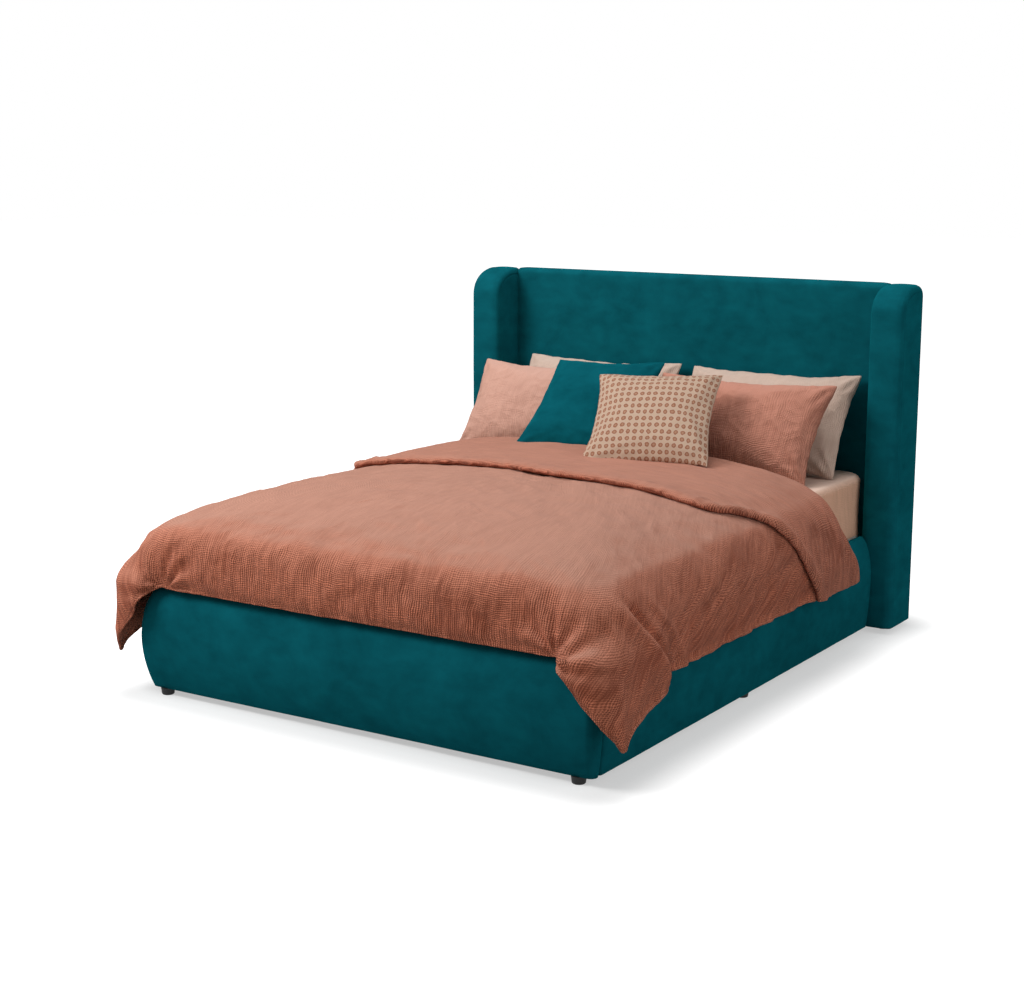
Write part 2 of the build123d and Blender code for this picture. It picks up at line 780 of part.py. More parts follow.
def cushion_section(seam, width, height, level, corner_share, side_share):
    """One level of a dome: four arcs between the drawn-in corners."""
    reach = height / 2
    corner_x, corner_y = width / 2 - corner_share * reach, reach - corner_share * reach
    side_x, side_y = width / 2 - side_share * reach, reach - side_share * reach
    with BuildSketch(seam.offset(level)) as section:
        with BuildLine():
            ThreePointArc((corner_x, -corner_y), (side_x, 0), (corner_x, corner_y))
            ThreePointArc((corner_x, corner_y), (0, side_y), (-corner_x, corner_y))
            ThreePointArc((-corner_x, corner_y), (-side_x, 0), (-corner_x, -corner_y))
            ThreePointArc((-corner_x, -corner_y), (0, -side_y), (corner_x, -corner_y))
        make_face()
    return section.sketch


def cushion(foot_plane, width, height, rise):
    """A crowned cushion whose lower seam edge is centred on the plane's origin."""
    middle = foot_plane.location * Location((0, height / 2, 0))
    seam = Plane(middle)
    levels = list(zip(dome_levels_shares, dome_corners_shares, dome_sides_shares))
    with BuildPart() as body:
        for side in (1, -1):
            loft([
                cushion_section(seam, width, height, side * rise * level, corner, edge)
                for level, corner, edge in levels
            ])
    return body.part


# The pillows lean on the headboard, the front pair on the back pair
pillow_bed = mattress_top + sheet_thickness + fit_gap
pillow_half = pillow_width / 2
back_pillow_left = pillow_half + back_left_margin - well_half
back_pillow_right = well_half - back_right_margin - pillow_half
front_pillow_left = pillow_half + front_left_margin - well_half
front_pillow_right = well_half - front_right_margin - pillow_half
lean_angle = radians(pillow_lean)
back_pillow_y = panel_front - pillow_head_gap - back_pillow_height * sin(lean_angle)
pair_gap = (back_pillow_rise + front_pillow_rise + soft_gap) / cos(lean_angle)
front_pillow_y = back_pillow_y - pair_gap
pillows = {
    "back_pillow_left": (back_pillow_left, back_pillow_y, back_pillow_height, back_pillow_rise),
    "back_pillow_right": (back_pillow_right, back_pillow_y, back_pillow_height, back_pillow_rise),
    "front_pillow_left": (front_pillow_left, front_pillow_y, front_pillow_height, front_pillow_rise),
    "front_pillow_right": (front_pillow_right, front_pillow_y, front_pillow_height, front_pillow_rise),
}
for pillow_name, (across, along, height, rise) in pillows.items():
    foot_plane = leaning_plane((across, along, pillow_bed - pillow_bed_in), pillow_lean, 0, 0)
    with BuildPart() as pillow:
        add(cushion(foot_plane, pillow_width, height, rise))
        split(bisect_by=Plane.XY.offset(pillow_bed), keep=Keep.TOP)
    pillow.part.label = pillow_name
    export_step(pillow.part, f"parts/{pillow_name}.step")

# Two square scatter cushions lean on the pillows, their lower edges on the duvet
with BuildPart() as teal_cushion:
    teal_place = (teal_across, front_pillow_y - teal_ahead, duvet_top + cushion_rest)
    teal_plane = leaning_plane(teal_place, teal_lean_angle, 0, teal_turn_angle)
    add(cushion(teal_plane, cushion_size, cushion_size, teal_rise))
teal_cushion.part.label = "teal_cushion"
export_step(teal_cushion.part, "parts/teal_cushion.step")

with BuildPart() as dotted_cushion:
    dotted_place = (dotted_across, front_pillow_y - dotted_ahead, duvet_top + cushion_rest)
    dotted_plane = leaning_plane(dotted_place, dotted_lean_angle, dotted_yaw_angle, dotted_turn_angle)
    add(cushion(dotted_plane, cushion_size, cushion_size, dotted_rise))
dotted_cushion.part.label = "dotted_cushion"
export_step(dotted_cushion.part, "parts/dotted_cushion.step")
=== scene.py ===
import math
import bpy
import numpy as np
from mathutils import Matrix, Vector, noise


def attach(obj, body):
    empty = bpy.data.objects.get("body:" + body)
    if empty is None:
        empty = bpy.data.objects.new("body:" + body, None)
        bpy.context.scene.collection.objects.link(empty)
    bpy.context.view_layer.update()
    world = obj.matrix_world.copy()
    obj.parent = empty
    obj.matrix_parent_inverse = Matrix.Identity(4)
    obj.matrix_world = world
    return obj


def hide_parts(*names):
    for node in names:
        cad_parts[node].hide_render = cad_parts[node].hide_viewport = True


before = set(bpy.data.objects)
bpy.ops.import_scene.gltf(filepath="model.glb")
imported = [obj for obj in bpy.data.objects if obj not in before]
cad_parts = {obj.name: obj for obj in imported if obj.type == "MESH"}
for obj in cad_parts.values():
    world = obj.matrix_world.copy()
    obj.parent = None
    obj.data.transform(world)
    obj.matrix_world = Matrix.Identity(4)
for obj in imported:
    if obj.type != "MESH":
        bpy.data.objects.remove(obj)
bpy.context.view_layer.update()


# The camera stands off the bed's right foot corner, a little above mattress height, with a long
# lens, as the photographer's did.
def put_in(name, data):
    """An object with its data, linked into the scene."""
    made = bpy.data.objects.new(name, data)
    bpy.context.scene.collection.objects.link(made)
    return made


def facing(place, aim):
    """The turn that points a camera or a lamp from its place to its aim."""
    return (Vector(aim) - Vector(place)).to_track_quat("-Z", "Y")


eye, looked_at = (3.114, -5.0125, 1.669), (-0.084, -0.0465, 0.528)
camera_data = bpy.data.cameras.new("camera")
camera_data.lens, camera_data.sensor_width = 63.98, 36
camera = put_in("camera", camera_data)
camera.location = eye
camera.rotation_mode = "QUATERNION"
roll = Matrix.Rotation(math.radians(0.15), 4, "Z")
camera.rotation_quaternion = (facing(eye, looked_at).to_matrix().to_4x4() @ roll).to_quaternion()
bpy.context.scene.camera = camera
bpy.context.scene.view_settings.view_transform = "Standard"


# The studio: a white sweep that runs out to the backdrop, one wide soft lamp above the foot's left
# side, one overhead and a faint one on the right. The floor keeps the bed's soft shadow, and a glow
# that only the camera sees paints it white away from the bed and leaves a painted shade along its
# sides.
def feed(node, inputs):
    """Gives each of a node's inputs its value, or links it to the socket that feeds it."""
    for socket, given in inputs.items():
        if isinstance(given, bpy.types.NodeSocket):
            node.id_data.links.new(given, node.inputs[socket])
        else:
            node.inputs[socket].default_value = given
    return node


def add(tree, kind, inputs=None, **settings):
    """One shader node with its settings and its inputs."""
    made = tree.nodes.new("ShaderNode" + kind)
    for setting, value in settings.items():
        setattr(made, setting, value)
    return feed(made, inputs or {})


def scalar(tree, operation, *given):
    """What a sum of plain numbers comes to."""
    return add(tree, "Math", dict(enumerate(given)), operation=operation).outputs[0]


def vector(tree, operation, *given):
    """What a sum of vectors comes to."""
    made = add(tree, "VectorMath", dict(enumerate(given)), operation=operation)
    return made.outputs["Value" if operation == "LENGTH" else 0]


def spread(tree, value, given=(0.0, 1.0), wanted=(0.0, 1.0), **settings):
    """A value moved from one range to another."""
    inputs = {"Value": value, "From Min": given[0], "From Max": given[1]}
    inputs.update({"To Min": wanted[0], "To Max": wanted[1]})
    return add(tree, "MapRange", inputs, **settings).outputs[0]


def emptied(owner):
    """The node tree of a material or a world, with nothing in it."""
    owner.use_nodes = True
    owner.node_tree.nodes.clear()
    return owner.node_tree


white = (1, 1, 1, 1)
floor_mesh = bpy.data.meshes.new("floor")
floor_half = 30
floor_plan = [(x * floor_half, y * floor_half, 0) for x, y in ((-1, -1), (1, -1), (1, 1), (-1, 1))]
floor_mesh.from_pydata(floor_plan, [], [(0, 1, 2, 3)])
floor = put_in("floor", floor_mesh)
sweep = bpy.data.materials.new("white_sweep")
tree = emptied(sweep)
# how far a point lies outside the bed's plan, over which the floor's camera-only glow brightens
# from a painted shade beside the bed to white
bed_plan = (0.81, 1.05, 0)
away = vector(tree, "ABSOLUTE", add(tree, "TexCoord").outputs["Object"])
away = vector(tree, "SUBTRACT", away, bed_plan)
away = vector(tree, "MAXIMUM", away, (0, 0, 0))
away = vector(tree, "LENGTH", away)
painted_glow_strength = spread(tree, away, (0.02, 0.27), (0.47, 1.0), interpolation_type="SMOOTHSTEP")
paint = add(tree, "BsdfDiffuse", {"Color": (0.50, 0.50, 0.50, 1)}).outputs[0]
# a glow seen only by camera and glossy rays: it paints the floor white, and dims near the bed into
# a painted shade
glow = add(tree, "Emission", {"Color": white, "Strength": painted_glow_strength}).outputs[0]
rays = add(tree, "LightPath").outputs
seen = scalar(tree, "MAXIMUM", rays["Is Camera Ray"], rays["Is Glossy Ray"])
glowing_paint = add(tree, "AddShader", {0: paint, 1: glow}).outputs[0]
shown = add(tree, "MixShader", {0: seen, 1: paint, 2: glowing_paint}).outputs[0]
add(tree, "OutputMaterial", {0: shown})
floor_mesh.materials.append(sweep)

room = bpy.data.worlds.new("room")
bpy.context.scene.world = room
tree = emptied(room)
room_light = add(tree, "Background", {"Color": white, "Strength": 0.27}).outputs[0]
backdrop = add(tree, "Background", {"Color": white}).outputs[0]
seen = add(tree, "LightPath").outputs["Is Camera Ray"]
shown = add(tree, "MixShader", {0: seen, 1: room_light, 2: backdrop}).outputs[0]
add(tree, "OutputWorld", {0: shown})

for name, place, aim, width, watts in (
    ("window_lamp", (-2.75, -2.8, 3.7), (0, 0, 0.4), 2.2, 182),
    ("top_lamp", (-0.3, -0.1, 4.8), (0, 0, 0.4), 3.0, 88),
    ("fill_lamp", (4.2, -0.2, 1.7), (0.8, 0, 0.4), 2.6, 36),
):
    lamp_data = bpy.data.lights.new(name, "AREA")
    lamp_data.size, lamp_data.energy = width, watts
    lamp = put_in(name, lamp_data)
    lamp.location = place
    lamp.rotation_mode = "QUATERNION"
    lamp.rotation_quaternion = facing(place, aim)


# The foot panel: a birch ply board padded with thick foam that swells out in front and at both
# ends, under one piece of velvet that is stapled below and rolls back over the top.
def sewn(name, points, faces, material, body):
    """A piece of the bed from its points and faces, smooth, riding with its body."""
    mesh = bpy.data.meshes.new(name)
    mesh.from_pydata([tuple(p) for p in points], [], [tuple(f) for f in faces])
    mesh.validate()
    mesh.materials.append(material)
    mesh.polygons.foreach_set("use_smooth", [True] * len(mesh.polygons))
    made = put_in(name, mesh)
    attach(made, body)
    return made


def grid_faces(rows, columns, round_columns=False, start=0):
    """The quads between rows of points, whose columns may close round."""
    faces = []
    for row in range(start, start + (rows - 1) * columns, columns):
        for column in range(columns if round_columns else columns - 1):
            after = (column + 1) % columns
            faces.append((row + column, row + after, row + columns + after, row + columns + column))
    return faces


def end_faces(count, total, start=0, turned=False):
    """The two faces that close a run of rings, at its first ring and its last."""
    first, last = range(start, start + count), range(start + total - count, start + total)
    return [tuple(first), tuple(last[::-1])] if turned else [tuple(first[::-1]), tuple(last)]


def tube_faces(rings, count, start=0, turned=False):
    """The faces of a run of rings that close round, with the two at its ends last."""
    faces = grid_faces(rings, count, round_columns=True, start=start)
    return faces + end_faces(count, rings * count, start, turned)


def ruffle(points, size, seed):
    """Smooth noise between -1 and 1 at each point, for features of about that size in metres."""
    away = Vector((seed * 7.3, seed * 3.1, seed * 5.7))
    return np.array([noise.noise(Vector(p) / size + away) for p in points])


def uneven(points, *layers):
    """Layers of noise added up, each with its depth, the points' stretch, its size and its seed."""
    return sum(deep * ruffle(points * stretch, size, seed) for deep, stretch, size, seed in layers)


def new_material(name):
    """A material, its node tree and its shader."""
    material = bpy.data.materials.new(name)
    material.use_nodes = True
    return material, material.node_tree, material.node_tree.nodes["Principled BSDF"]


def fuzz(tree, place, scale, output="Fac", **more):
    """What a noise texture gives at a place."""
    return add(tree, "TexNoise", {"Vector": place, "Scale": scale, **more}).outputs[output]


def object_place(tree):
    """Where a point lies in its object."""
    return add(tree, "TexCoord").outputs["Object"]


def stretched(tree, place, scale):
    """A place whose axes are scaled, so that a texture is drawn out along some of them."""
    return add(tree, "Mapping", {"Vector": place, "Scale": scale}).outputs[0]


def ramp(tree, share, *stops):
    """The colour for a share between stops, each with its position and colour."""
    made = add(tree, "ValToRGB", {"Fac": share})
    elements = made.color_ramp.elements
    for number, (position, colour) in enumerate((stops[0], stops[-1])):
        elements[number].position, elements[number].color = position, (*colour, 1)
    for position, colour in stops[1:-1]:
        elements.new(position).color = (*colour, 1)
    return made.outputs["Color"]


def bump(tree, height, strength, distance, invert=False, **more):
    """The normal of a surface that a height raises."""
    inputs = {"Height": height, "Strength": strength, "Distance": distance, **more}
    return add(tree, "Bump", inputs, invert=invert).outputs[0]


def velvet(name, deep, lit, sheen):
    """Short-pile velvet: brushed patches where the nap lies the other way, and a soft sheen."""
    material, tree, pile = new_material(name)
    place = object_place(tree)
    brushed = fuzz(tree, place, 5.5, Detail=5, Roughness=0.62, Distortion=0.8)
    streaks = fuzz(tree, stretched(tree, place, (0.55, 0.55, 1.0)), 26, Detail=6)
    blend = add(tree, "Mix", {"Factor": 0.42, "A": brushed, "B": streaks}).outputs["Result"]
    tufts = fuzz(tree, place, 900, Detail=2)
    feed(pile, {
        "Base Color": ramp(tree, blend, (0.30, deep), (0.72, lit)),
        "Roughness": 0.62,
        "Specular IOR Level": 0.0,
        "Sheen Weight": sheen,
        "Sheen Roughness": 0.33,
        "Sheen Tint": (0.0, 0.42, 0.48, 1),
        "Normal": bump(tree, tufts, 0.22, 0.0012, Normal=bump(tree, streaks, 0.25, 0.004)),
    })
    return material


base_half, foot_front, foot_back = 0.811, -1.0515, -0.9765
floor_gap, widest, rail_top = 0.022, 0.188, 0.345
side_roll, side_tuck, front_roll, front_tuck = 0.046, 0.013, 0.050, 0.038


def swell_inset(height, top_roll, bottom_tuck):
    """How far a padded face stands back from its widest line, by height."""
    above = np.clip((height - widest) / (rail_top - widest), 0, 1)
    below = np.clip((widest - height) / (widest - floor_gap), 0, 1)
    return float(top_roll * (1 - np.sqrt(1 - above**2)) + bottom_tuck * below**2)


def base_reach(height):
    """How far the base reaches sideways at a height."""
    return base_half - swell_inset(height, side_roll, side_tuck)


teal_velvet = velvet("teal_velvet", (0.0027, 0.068, 0.087), (0.0044, 0.124, 0.154), 0.42)
quarter = math.pi / 2
swell_turn = np.linspace(0, quarter, 40)[1:]
upper_heights = widest + (rail_top - widest) * np.sin(swell_turn)
heights = np.concatenate([np.linspace(floor_gap, widest, 18), upper_heights])
# the cover turns in at the panel's ends, where the rails butt against it
end_round, end_depth = 0.016, 0.013
end_steps = np.array([0.0, 0.0006, 0.002, 0.0045, 0.008, 0.012, 0.016, 0.024])
end_tucks = end_depth * (1 - np.sqrt(1 - np.clip(1 - end_steps / end_round, 0, 1) ** 2))
corner_turn, front_count = np.linspace(0, quarter, 10), 160
foot_points = []
for height in heights:
    half, front = base_reach(height), foot_front + swell_inset(height, front_roll, front_tuck)
    corner = 0.020 + 0.014 * max(0.0, (height - widest) / (rail_top - widest))
    bends = [(corner * (1 - math.cos(a)), corner * (1 - math.sin(a))) for a in corner_turn]
    end = [(half - tuck, foot_back - step) for step, tuck in zip(end_steps, end_tucks)]
    end += [(half - inset, front + ahead) for inset, ahead in bends]
    outline = [(-x, y) for x, y in end]
    front_run = np.linspace(-half + corner, half - corner, front_count)[1:-1]
    outline += [(x, front) for x in front_run] + end[::-1]
    foot_points += [(x, y, height) for x, y in outline]
count = len(outline)
foot_points = np.array(foot_points)
# the velvet is pulled a little unevenly over the foam
dip = uneven(foot_points, (0.0016, 1, 0.16, 1), (0.0009, (1, 1, 0.4), 0.05, 2))
foot_points[:, 1] -= dip * np.clip(1 - np.abs(foot_points[:, 0]) / 0.79, 0, 1) ** 0.4
foot_faces = grid_faces(len(heights), count) + end_faces(count, len(foot_points))
rows = range(0, len(foot_points) - count, count)
foot_faces += [(row, row + count, row + 2 * count - 1, row + count - 1) for row in rows]
foot_cover = sewn("foot_panel_cover", foot_points, foot_faces, teal_velvet, "frame")
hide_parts("foot_cover")

# The side rails' covers: the same swelling in velvet over foam, drawn along each side board. They
# butt against the foot panel with a tight sewn end that shows as a dark curved line.
well_half, wing_front = 0.755, 0.8935
rail_loop = [(well_half, floor_gap)] + [(base_reach(height), height) for height in heights]
rail_loop += [(well_half + 0.010, rail_top), (well_half + 0.002, rail_top - 0.003)]
rail_loop += [(well_half, rail_top - 0.012)]
rail_stations = np.concatenate([
    foot_back + np.array([0.0, 0.0012, 0.004, 0.008, 0.014]),
    np.linspace(foot_back + 0.03, wing_front - 0.03, 150),
    wing_front - np.array([0.012, 0.006, 0.003, 0.0]),
])
rail_tucks = np.zeros(len(rail_stations))
rail_tucks[:4] = 0.0130, 0.0075, 0.0034, 0.0009
rail_tucks[-3:] = 0.0006, 0.0018, 0.004
for side, side_name in ((-1, "left"), (1, "right")):
    rail_points = np.array([
        (x - tuck * (x > well_half + 0.012), station, z - tuck * 0.5 * (z > widest))
        for station, tuck in zip(rail_stations, rail_tucks)
        for x, z in rail_loop
    ])
    dip = uneven(rail_points, (0.0015, 1, 0.17, 5 + side), (0.0008, (1, 1, 0.4), 0.05, 9 + side))
    rail_points[:, 0] -= np.abs(dip) * (rail_points[:, 0] > well_half + 0.02)
    rail_points[:, 0] *= side
    rail_faces = tube_faces(len(rail_stations), len(rail_loop), turned=True)
    rail_cover = sewn(f"side_rail_cover_{side_name}", rail_points, rail_faces, teal_velvet, "frame")
    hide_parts(f"side_cover_{side_name}")

# The wings: upright timber boxes under thick foam and velvet, rounded along every edge. The front
# edge sweeps back into the top, and a seam runs round each side face just inside the roll.
wing_inner, wing_outer, wing_back, wing_top = 0.7625, 0.8825, 1.1015, 1.217
sweep_back, sweep_drop, back_round = 0.13, 0.1, 0.045
wing_line = [(wing_front, z) for z in np.linspace(floor_gap, wing_top - sweep_drop, 120)[:-1]]
for a in np.linspace(0, quarter, 26):
    y = wing_front + sweep_back * (1 - math.cos(a))
    wing_line.append((y, wing_top - sweep_drop * (1 - math.sin(a))))
for a in np.linspace(0, quarter, 14):
    y = wing_back - back_round * (1 - math.sin(a))
    wing_line.append((y, wing_top - back_round * (1 - math.cos(a))))
wing_line += [(wing_back, z) for z in np.linspace(wing_top - back_round, floor_gap, 110)[1:]]
wing_line = np.array(wing_line)
along = np.gradient(wing_line, axis=0)
along /= np.linalg.norm(along, axis=1)[:, None]
inward = np.stack([along[:, 1], -along[:, 0]], axis=1)
# across the edge: flat side face, a shallow seam, the round edge, the crowned front, and back
roll_size, crown_rise = 0.019, 0.0035
thickness = wing_outer - wing_inner
half_profile = [(0.0, depth) for depth in (0.0400, 0.0330, 0.0285, 0.0255)]
half_profile += [(0.0018, 0.0236), (0.0026, 0.0224), (0.0012, 0.0210)]
for a in np.linspace(0, quarter, 9):
    half_profile.append((roll_size - roll_size * math.cos(a), roll_size - roll_size * math.sin(a)))
edge_profile = half_profile + [(share * thickness, 0.0) for share in np.linspace(0.24, 0.76, 9)]
edge_profile += [(thickness - across, depth) for across, depth in half_profile[::-1]]
for side, side_name in ((-1, "left"), (1, "right")):
    wing_points = []
    for across, depth in edge_profile:
        crown = 0.0 if depth else crown_rise * max(0.0, math.sin(math.pi * across / thickness))
        moved = wing_line + inward * (depth + crown_rise - crown)
        wing_points += [(wing_inner + across, y, z) for y, z in moved]
    wing_points = np.array(wing_points)
    wing_points[:, 2] = np.maximum(wing_points[:, 2], floor_gap)
    dip = uneven(wing_points, (0.0016, 1, 0.2, 13 + side), (0.0008, (1, 1, 0.35), 0.06, 17 + side))
    wing_points[:, 1] += np.abs(dip) * (wing_points[:, 1] < wing_front + 0.02)
    wing_points[:, 0] *= side
    count, rows = len(wing_line), len(edge_profile)
    wing_faces = grid_faces(rows, count) + end_faces(count, len(wing_points))
    underside = [row * count for row in range(rows)]
    wing_faces.append(tuple(underside + [first + count - 1 for first in underside[::-1]]))
    wing = sewn(f"wing_pad_{side_name}", wing_points, wing_faces, teal_velvet, "frame")
    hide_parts(f"wing_cover_{side_name}")

# The headboard's front: one wide panel of velvet over foam that rolls over the timber's top edge.
# The velvet lies in faint level ripples where it is pulled between the wings.
panel_front, panel_low = 1.0385, 0.120
frame_front, frame_top = panel_front + 0.033, wing_top - 0.030
soft = 0.022
roll_line = [(panel_front, z) for z in np.linspace(panel_low, wing_top - soft, 90)]
roll_turn = [(soft * math.sin(a), soft * math.cos(a)) for a in np.linspace(0, quarter, 9)]
roll_line += [(panel_front + soft - fall, wing_top - soft + rise) for rise, fall in roll_turn[1:]]
roll_line += [(wing_back - soft + rise, wing_top - soft + fall) for rise, fall in roll_turn]
roll_line += [(wing_back, frame_top), (frame_front, frame_top), (frame_front, panel_low)]
half_ends = wing_inner - np.array([0, 0.004])
middle_run = np.linspace(-wing_inner + 0.012, wing_inner - 0.012, 150)
stations = np.concatenate([-half_ends, middle_run, half_ends[::-1]])
panel_points = np.array([(x, y, z) for x in stations for y, z in roll_line])
dip = uneven(panel_points, (0.0018, 1, 0.22, 21), (0.0010, (0.35, 1, 1), 0.045, 22))
edge = np.clip((wing_inner - np.abs(panel_points[:, 0])) / 0.03, 0, 1)
front_face = panel_points[:, 1] < panel_front + soft
panel_points[:, 1] += np.where(front_face, (0.002 + dip) * edge + 0.006 * (1 - edge) ** 2, 0)
panel_points[:, 2] -= np.where(panel_points[:, 2] > frame_top + 0.004, 0.003 * (1 - edge) ** 2, 0)
panel_faces = tube_faces(len(stations), len(roll_line), turned=True)
headboard = sewn("headboard_pad", panel_points, panel_faces, teal_velvet, "frame")
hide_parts("headboard_cover")


# The timber and ply of the frame: boards and wing boxes of birch ply, posts, members, ledges and
# slats of planed pine with its long grain and a few darker bands.
def timber(name, light, dark, grain_scale, band):
    """Planed wood whose grain runs along one axis."""
    material, tree, wood = new_material(name)
    run = stretched(tree, object_place(tree), grain_scale)
    grain = fuzz(tree, run, band, Detail=7, Roughness=0.6, Distortion=0.5)
    feed(wood, {
        "Base Color": ramp(tree, grain, (0.32, dark), (0.66, light)),
        "Roughness": 0.58,
        "Specular IOR Level": 0.35,
        "Normal": bump(tree, grain, 0.18, 0.0006),
    })
    return material


def dress(material, names):
    """Gives parts carried over from the frame their material."""
    for name in names:
        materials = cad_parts[name].data.materials
        materials.clear()
        materials.append(material)


def both(name):
    """A name with each side's ending."""
    return [f"{name}_left", f"{name}_right"]


cross_pine = timber("cross_pine", (0.68, 0.47, 0.26), (0.50, 0.29, 0.13), (0.6, 9, 9), 6)
long_pine = timber("long_pine", (0.66, 0.45, 0.25), (0.48, 0.28, 0.12), (9, 0.6, 9), 6)
upright_pine = timber("upright_pine", (0.66, 0.45, 0.25), (0.48, 0.28, 0.12), (9, 9, 0.6), 6)
birch_ply = timber("birch_ply", (0.62, 0.45, 0.28), (0.40, 0.26, 0.14), (2.5, 2.5, 60), 9)
members = [f"headboard_{level}_rail" for level in ("top", "middle", "bottom")]
dress(cross_pine, members + ["head_rail"])
dress(cross_pine, [f"slat_{number:02d}" for number in range(1, 13)])
dress(long_pine, both("slat_ledge"))
dress(upright_pine, both("headboard_post"))
dress(birch_ply, ["foot_board"] + both("side_board") + both("wing_box"))


# The steel: zinc plated brackets, shoes and bolts, and a black powder coated centre rail on two
# turned legs. The low feet are matt black.
def metal(name, colour, metallic, rough, speckle):
    """Plated or coated steel with a fine mottle."""
    material, tree, steel = new_material(name)
    mottle = fuzz(tree, object_place(tree), speckle, Detail=5)
    dark, light = [c * 0.78 for c in colour], [min(1, c * 1.15) for c in colour]
    feed(steel, {
        "Base Color": ramp(tree, mottle, (0, dark), (1, light)),
        "Metallic": metallic,
        "Roughness": spread(tree, mottle, wanted=(rough - 0.08, rough + 0.10)),
        "Normal": bump(tree, mottle, 0.12, 0.0004),
    })
    return material


zinc = metal("zinc_plate", (0.60, 0.61, 0.63), 1.0, 0.34, 160)
bolt_zinc = metal("bolt_zinc", (0.52, 0.53, 0.55), 1.0, 0.30, 240)
powder_black = metal("powder_black", (0.018, 0.018, 0.020), 0.0, 0.46, 420)
foot_black = metal("foot_black", (0.010, 0.010, 0.011), 0.0, 0.62, 300)
dress(zinc, both("foot_bracket") + both("wing_bracket") + ["centre_shoe_foot", "centre_shoe_head"])
dress(bolt_zinc, ["bracket_bolts", "wing_bolts"])
dress(powder_black, ["centre_rail", "centre_leg_1", "centre_leg_2"])
dress(foot_black, both("foot_front") + both("foot_side") + both("foot_wing"))


# The thin black lining over the headboard's back: a plain woven dust cloth with its edges folded
# under. It hangs a little slack between the members.
def woven(name, colour, threads):
    """A plain weave of crossing threads."""
    material, tree, cloth = new_material(name)
    waves = {"Vector": object_place(tree), "Scale": threads, "Distortion": 0.4}
    x, y, z = [add(tree, "TexWave", waves, bands_direction=way).outputs["Fac"] for way in "XYZ"]
    crossed = scalar(tree, "ADD", scalar(tree, "MULTIPLY", x, z), y)
    dark, light = [c * 0.55 for c in colour], [c * 1.3 for c in colour]
    feed(cloth, {
        "Base Color": ramp(tree, crossed, (0, dark), (1, light)),
        "Roughness": 0.9,
        "Specular IOR Level": 0.15,
        "Normal": bump(tree, crossed, 0.5, 0.0006),
    })
    return material


def node_box(name):
    """The lowest and highest corner of one of the frame's nodes."""
    corners = np.array([v.co[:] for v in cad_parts[name].data.vertices])
    return corners.min(axis=0), corners.max(axis=0)


lining_cloth = woven("lining_cloth", (0.022, 0.022, 0.025), 260)
low, high = node_box("headboard_back_lining")
# the rim in plan of X and Z, then rings that shrink from it: the fold's edge first, then the cloth
(left, _, bottom), (right, _, top) = low, high
across, up = np.linspace(left, right, 120), np.linspace(bottom, top, 90)
rim = [(x, bottom) for x in across[:-1]] + [(right, z) for z in up[:-1]]
rim += [(x, top) for x in across[:0:-1]] + [(left, z) for z in up[:0:-1]]
lining_middle = np.array([left + right, bottom + top]) / 2
lining_half = np.array([right - left, top - bottom]) / 2
fold_insets = np.array([0.016, 0.010, 0.002, 0.0, 0.0, 0.003])
shrinks = np.concatenate([1 - fold_insets / lining_half.min(), np.linspace(0.985, 0.02, 46)])
fold_depths = [0.0016, 0.0017, 0.0016, 0.0009, 0.0004, 0.0003]
depths = np.concatenate([fold_depths, np.full(46, 0.0003)])
lining_points = []
for shrink, depth in zip(shrinks, depths):
    ring = lining_middle + (np.array(rim) - lining_middle) * shrink
    lining_points += [(x, high[1] - depth, z) for x, z in ring]
lining_points = np.array(lining_points)
slack = uneven(lining_points, (1, (1, 1, 0.6), 0.16, 35), (0.5, 1, 0.05, 36))
from_edge = (lining_half - np.abs(lining_points[:, [0, 2]] - lining_middle)).min(axis=1)
lining_points[:, 1] -= 0.0011 * np.abs(slack) * np.clip(from_edge / 0.05, 0, 1)
lining_faces = tube_faces(len(shrinks), len(rim))
del lining_faces[-2]
lining = sewn("lining_cloth", lining_points, lining_faces, lining_cloth, "frame")
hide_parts("headboard_back_lining")

# Staples of flat steel wire hold the lining's folded edge to the timber, one every few centimetres.
# Each is bent down at both ends, where its legs go in.
staple_half, staple_wire, staple_proud, from_rim = 0.0055, 0.0005, 0.0004, 0.009
wire_shares, wire_turns = np.linspace(-1, 1, 7), np.linspace(0, 2 * math.pi, 6, endpoint=False)
level_run = np.linspace(left + 0.05, right - 0.05, 26)
upright_run = np.linspace(bottom + 0.05, top - 0.05, 18)
staple_places = [(x, z, 0) for x in level_run for z in (bottom + from_rim, top - from_rim)]
staple_places += [(x, z, quarter) for z in upright_run for x in (left + from_rim, right - from_rim)]
staple_points, staple_faces = [], []
for number, (x, z, turn) in enumerate(staple_places):
    tilt = 0.5 * math.sin(7.7 * number) + turn
    for share in wire_shares:
        sink = 0.0012 * max(0.0, abs(share) - 0.72) / 0.28
        for a in wire_turns:
            along_wire, over_wire = share * staple_half, staple_wire * math.cos(a)
            staple_points.append((
                x + along_wire * math.cos(tilt) - over_wire * math.sin(tilt),
                high[1] - 0.0002 - sink + staple_proud * math.sin(a),
                z + along_wire * math.sin(tilt) + over_wire * math.cos(tilt),
            ))
    start = number * len(wire_shares) * len(wire_turns)
    staple_faces += tube_faces(len(wire_shares), len(wire_turns), start)
staples = sewn("lining_staples", staple_points, staple_faces, bolt_zinc, "frame")

